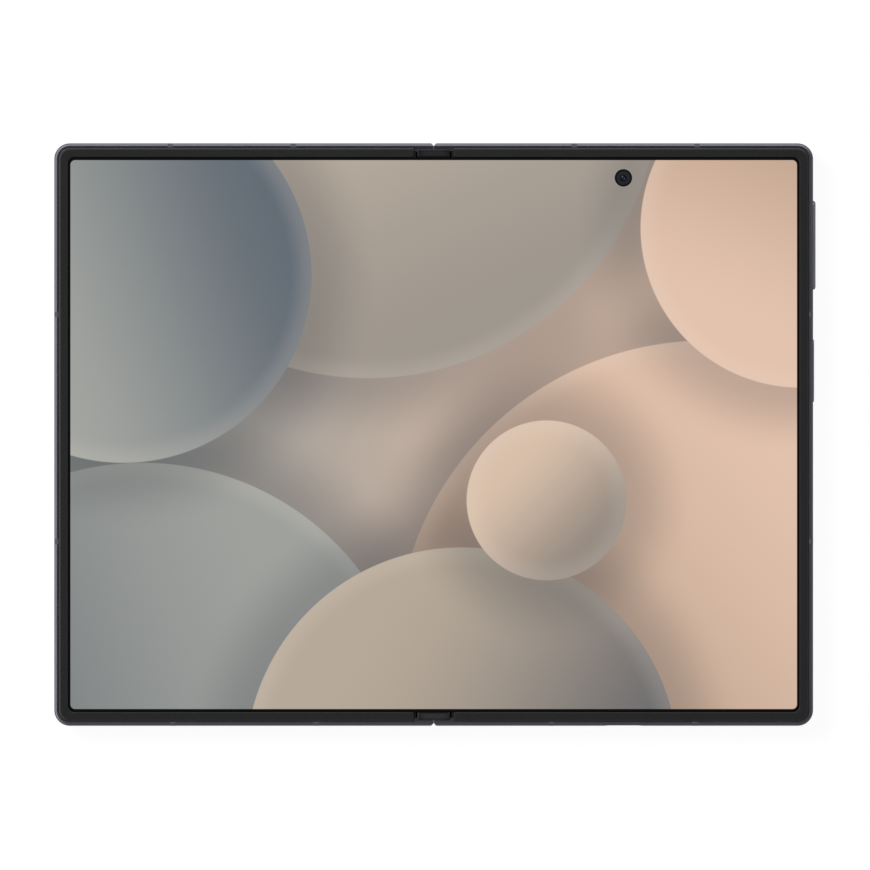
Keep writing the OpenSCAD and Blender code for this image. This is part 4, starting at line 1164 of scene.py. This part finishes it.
# -------------------------------------------------------------- charging port
# The USB-C receptacle is a deep-drawn steel shell, open at the edge and closed behind. A
# black plastic tongue down its middle carries twelve gold contacts on each face.
shell_w = (port_box[1].x - port_box[0].x) / MM
shell_h = (port_box[1].z - port_box[0].z) / MM
shell_back = port_box[1].y / MM
shell_mouth = port_box[0].y / MM
shell_wall = 0.3


def port_ring(y, grow):
    w = shell_w / 2 + grow
    h = shell_h / 2 + grow
    return [(x, y, z) for x, z in outline(port_x - w, port_z - h, port_x + w, port_z + h, h - 0.01, 10)]


port_steel = machined("port_steel", paint(160, 162, 166), 0.24, 1)
shell = Solid().skin([port_ring(shell_back, -0.1), port_ring(shell_back - 0.1, 0),
                      port_ring(shell_mouth + 0.04, 0), port_ring(shell_mouth, -0.08),
                      port_ring(shell_mouth, 0.08 - shell_wall), port_ring(shell_mouth + 0.1, -shell_wall),
                      port_ring(shell_back - shell_wall, -shell_wall)])
piece = phone_piece("port_shell", shell.mesh("shell"), [port_steel])
fit(piece, "right_half", "steel", "charging_port")

tongue_plastic = Finish("tongue_plastic")
flow = tongue_plastic.noise(2500, 2)
tongue_plastic.surface(Base_Color=tongue_plastic.mix(flow, paint(18, 18, 20), paint(28, 28, 30)),
                       Roughness=0.38 + flow * 0.1)
gold = machined("contact_gold", paint(214, 178, 104), 0.2, 1)
tongue_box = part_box("port_tongue")
tongue_w = (tongue_box[1].x - tongue_box[0].x) / MM
tongue_h = (tongue_box[1].z - tongue_box[0].z) / MM
tongue = Solid().skin([[(x, y, z) for x, z in outline(
    port_x - tongue_w / 2 + e, port_z - tongue_h / 2 + e, port_x + tongue_w / 2 - e,
    port_z + tongue_h / 2 - e, tongue_h / 2 - e - 0.01, 5)]
    for y, e in ((tongue_box[0].y / MM, 0.12), (tongue_box[0].y / MM + 0.04, 0.03),
                 (tongue_box[0].y / MM + 0.12, 0), (tongue_box[1].y / MM, 0))])
contacts = Recipe("port_contacts", Count=12, Pitch=0.5, Width=0.26, Length=3.4, Proud=0.03)
pad = contacts.node("GeometryNodeMeshCube", None, {"Size": contacts.vector(
    contacts.size("Width"), contacts.size("Length"), contacts.times(contacts.size("Proud"), 2.0))})
span = contacts.times(contacts.size("Pitch"), 11.0)
faces = []
for sign in (-1, 1):
    row = contacts.node("GeometryNodeMeshLine", None, {
        "Count": contacts.size("Count"), "Offset": contacts.vector(contacts.size("Pitch"), 0.0, 0.0),
        "Start Location": contacts.vector(contacts.minus(port_x, contacts.times(span, 0.5)),
                                          tongue_box[0].y / MM + 2.0, port_z + sign * tongue_h / 2)})
    faces.append(contacts.node("GeometryNodeInstanceOnPoints", None, {"Points": row, "Instance": pad}))
both = contacts.node("GeometryNodeJoinGeometry", None, {0: faces})
pads = contacts.mesh(both, gold)
for face in pads.polygons:
    face.material_index = 1
piece = phone_piece("port_tongue_contacts", joined([tongue.mesh("tongue"), pads], "tongue"),
                    [tongue_plastic, gold])
fit(piece, "right_half", "black_plastic", "port_tongue")

# ------------------------------------------------------------------- SIM tray
# The card tray slides out of the lower edge of the left half. Its head is metal to match the
# rail, with a pin hole in the wall beside it, and its thin frame holds the card in a recess.
tray_y = tray_box[0].y / MM
tray_end = tray_box[1].y / MM
head_w = (tray_box[1].x - tray_box[0].x) / 2 / MM
frame_w = 6.9
tray_metal = satin_metal("anodised_tray", paint(122, 123, 132), 0.34)
tray = Solid()
head = []
for s, inset in ((0, 0.14), (0.04, 0.05), (0.12, 0), (1.3, 0)):
    w = head_w - inset
    h = 0.8 - inset
    head.append([(x, tray_y + s, z) for x, z in outline(tray_x - w, tray_z - h, tray_x + w, tray_z + h,
                                                        h - 0.005, 10)])
tray.skin(head)
for side in (-1, 1):
    rail = [(tray_x + side * frame_w, tray_y + 1.2), (tray_x + side * 4.55, tray_y + 1.2),
            (tray_x + side * 4.55, tray_end - 0.4), (tray_x + side * 4.8, tray_end),
            (tray_x + side * (frame_w - 0.4), tray_end), (tray_x + side * frame_w, tray_end - 0.4)]
    tray.skin([lifted(rail, z) for z in (tray_z - 0.4, tray_z + 0.4)])
for y0, y1, z1 in ((tray_y + 1.2, tray_y + 3.5, 0.4), (tray_y + 3.4, tray_y + 16.3, -0.1),
                   (tray_y + 16.2, tray_end - 0.02, 0.4)):
    tray.skin([lifted(outline(tray_x - 4.6, y0, tray_x + 4.6, y1, 0.1), z)
               for z in (tray_z - 0.38, tray_z + z1)])
piece = phone_piece("card_tray_frame", tray.mesh("tray"), [tray_metal], -1)
fit(piece, "tray", "frame_metal", "card_tray")

# ------------------------------------------------------------- inner assembly
# Boards with soldered shields, a pouch battery in each half, the speakers, the motor and the
# switches fill the halves. They are screwed and glued to the shelf before the backs go on.
solder_mask = Finish("solder_mask")
copper = solder_mask.node("ShaderNodeTexVoronoi", {"feature": "DISTANCE_TO_EDGE"},
                          {"Vector": solder_mask.place(), "Scale": 700}, "Distance")
trace = solder_mask.step(copper, 0.02, 0.07, 1, 0)
solder_mask.surface(Base_Color=solder_mask.mix(trace, paint(16, 44, 34), paint(38, 84, 62)),
                    Roughness=0.35 + solder_mask.noise(900) * 0.15, Coat_Weight=0.3,
                    Normal=solder_mask.bump(trace, 0.00001))
dress(["main_board", "port_board", "card_board"], solder_mask)

shield_metal = machined("stamped_shield", paint(176, 178, 182), 0.32, 0)
dress(["board_shields", "card_socket", "key_switches", "vibration_motor"], shield_metal)

pouch = Finish("battery_pouch")
crinkle = pouch.noise(260, 5)
_, label_y, _ = pouch.parts(pouch.place())
label = pouch.step(label_y.size(), 0.0238, 0.024, 1, 0)
pouch.surface(Base_Color=pouch.mix(label, paint(30, 31, 34), paint(62, 63, 67)),
              Roughness=0.34 + crinkle * 0.22, Metallic=0.3 - label * 0.3,
              Normal=pouch.bump(crinkle, 0.00012))
dress(["battery_right", "battery_left"], pouch)

moulded = Finish("moulded_black")
spark = moulded.noise(7000, 4)
moulded.surface(Base_Color=moulded.mix(spark, paint(20, 20, 22), paint(34, 34, 37)),
                Roughness=0.5 + spark * 0.12, Normal=moulded.bump(spark, 0.000008))
dress(["loudspeaker", "earpiece"], moulded)

# --------------------------------------------------- floor, light and camera
# The phone lies open on its back on a plain white table, its camera island touching it. A soft
# box at the upper left and a broad fill light it evenly, and the camera looks straight down.
scene = bpy.context.scene
table_mesh = bpy.data.meshes.new("table")
table_mesh.from_pydata([(-3, -3, 0), (3, -3, 0), (3, 3, 0), (-3, 3, 0)], [], [(0, 1, 2, 3)])
white = Finish("white_table")
camera_rays, glossy_rays, clear_rays = [white.node("ShaderNodeLightPath", out=f"Is {kind} Ray")
                                        for kind in ("Camera", "Glossy", "Transmission")]
matt = white.node("ShaderNodeBsdfDiffuse", None, {"Color": (0.9, 0.9, 0.9, 1)})
plain = white.node("ShaderNodeEmission", None, {
    "Color": white.mix(glossy_rays, (1, 1, 1, 1), (0.2, 0.2, 0.2, 1)), "Strength": 1.03})
shown = white.node("ShaderNodeMixShader", None,
                   {0: (camera_rays + clear_rays) * 0.9 + glossy_rays * 0.8, 1: matt, 2: plain})
from_below = white.node("ShaderNodeNewGeometry", out="Backfacing")
see_through = white.node("ShaderNodeBsdfTransparent")
white.node("ShaderNodeOutputMaterial", None,
           {"Surface": white.node("ShaderNodeMixShader", None, {0: from_below, 1: shown, 2: see_through})})
table_mesh.materials.append(white.material)
table = bpy.data.objects.new("table", table_mesh)
scene.collection.objects.link(table)

sky = Finish("pale_room", bpy.data.worlds)
scene.world = sky.material
camera_rays, glossy_rays, clear_rays = [sky.node("ShaderNodeLightPath", out=f"Is {kind} Ray")
                                        for kind in ("Camera", "Glossy", "Transmission")]
to_right, to_top, up = sky.parts(sky.node("ShaderNodeTexCoord", out="Generated"))
level = sky.step(up.size(), 0.25, 0.62, 0.07, 0.5) * sky.step(up.size(), 0.88, 0.98, 1, 0.03)
bright_side = sky.step(to_top - to_right, -0.5, 0.5) + sky.step(to_top - to_right, 1.0, 1.4, 0, 0.9)
side_level = bright_side + (1 - bright_side) * sky.step(up.size(), 0.12, 0.38, 2.2, 0.19)
mirrored = sky.mix(level * side_level, (0, 0, 0, 1), (4, 4, 4, 1))
backdrop = sky.mix(glossy_rays, (1, 1, 1, 1), mirrored)
soft = sky.mix((camera_rays + glossy_rays + clear_rays).at_most(1), (0.42, 0.42, 0.42, 1), backdrop)
sky.node("ShaderNodeOutputWorld", None,
         {"Surface": sky.node("ShaderNodeBackground", None, {"Color": soft, "Strength": 1.0})})

for name, watts, size, place in (("soft_box", 34, 1.0, (-1.2, 0.9, 1.6)),
                                 ("fill_light", 6, 1.6, (0.4, -0.1, 2.1))):
    lamp = bpy.data.lights.new(name, "AREA")
    lamp.energy = watts
    lamp.size = size
    light = bpy.data.objects.new(name, lamp)
    light.location = place
    light.rotation_euler = (-Vector(place)).to_track_quat("-Z", "Y").to_euler()
    light.visible_glossy = False
    scene.collection.objects.link(light)

camera_height = 1.7988
lens = bpy.data.cameras.new("camera")
lens.lens = 350
lens.sensor_width = 36
camera_stand = bpy.data.objects.new("camera", lens)
camera_stand.location = (0.000275, -0.00009, (back_z + top_z) * MM + camera_height)
scene.collection.objects.link(camera_stand)
scene.camera = camera_stand
scene.view_settings.view_transform = "Standard"
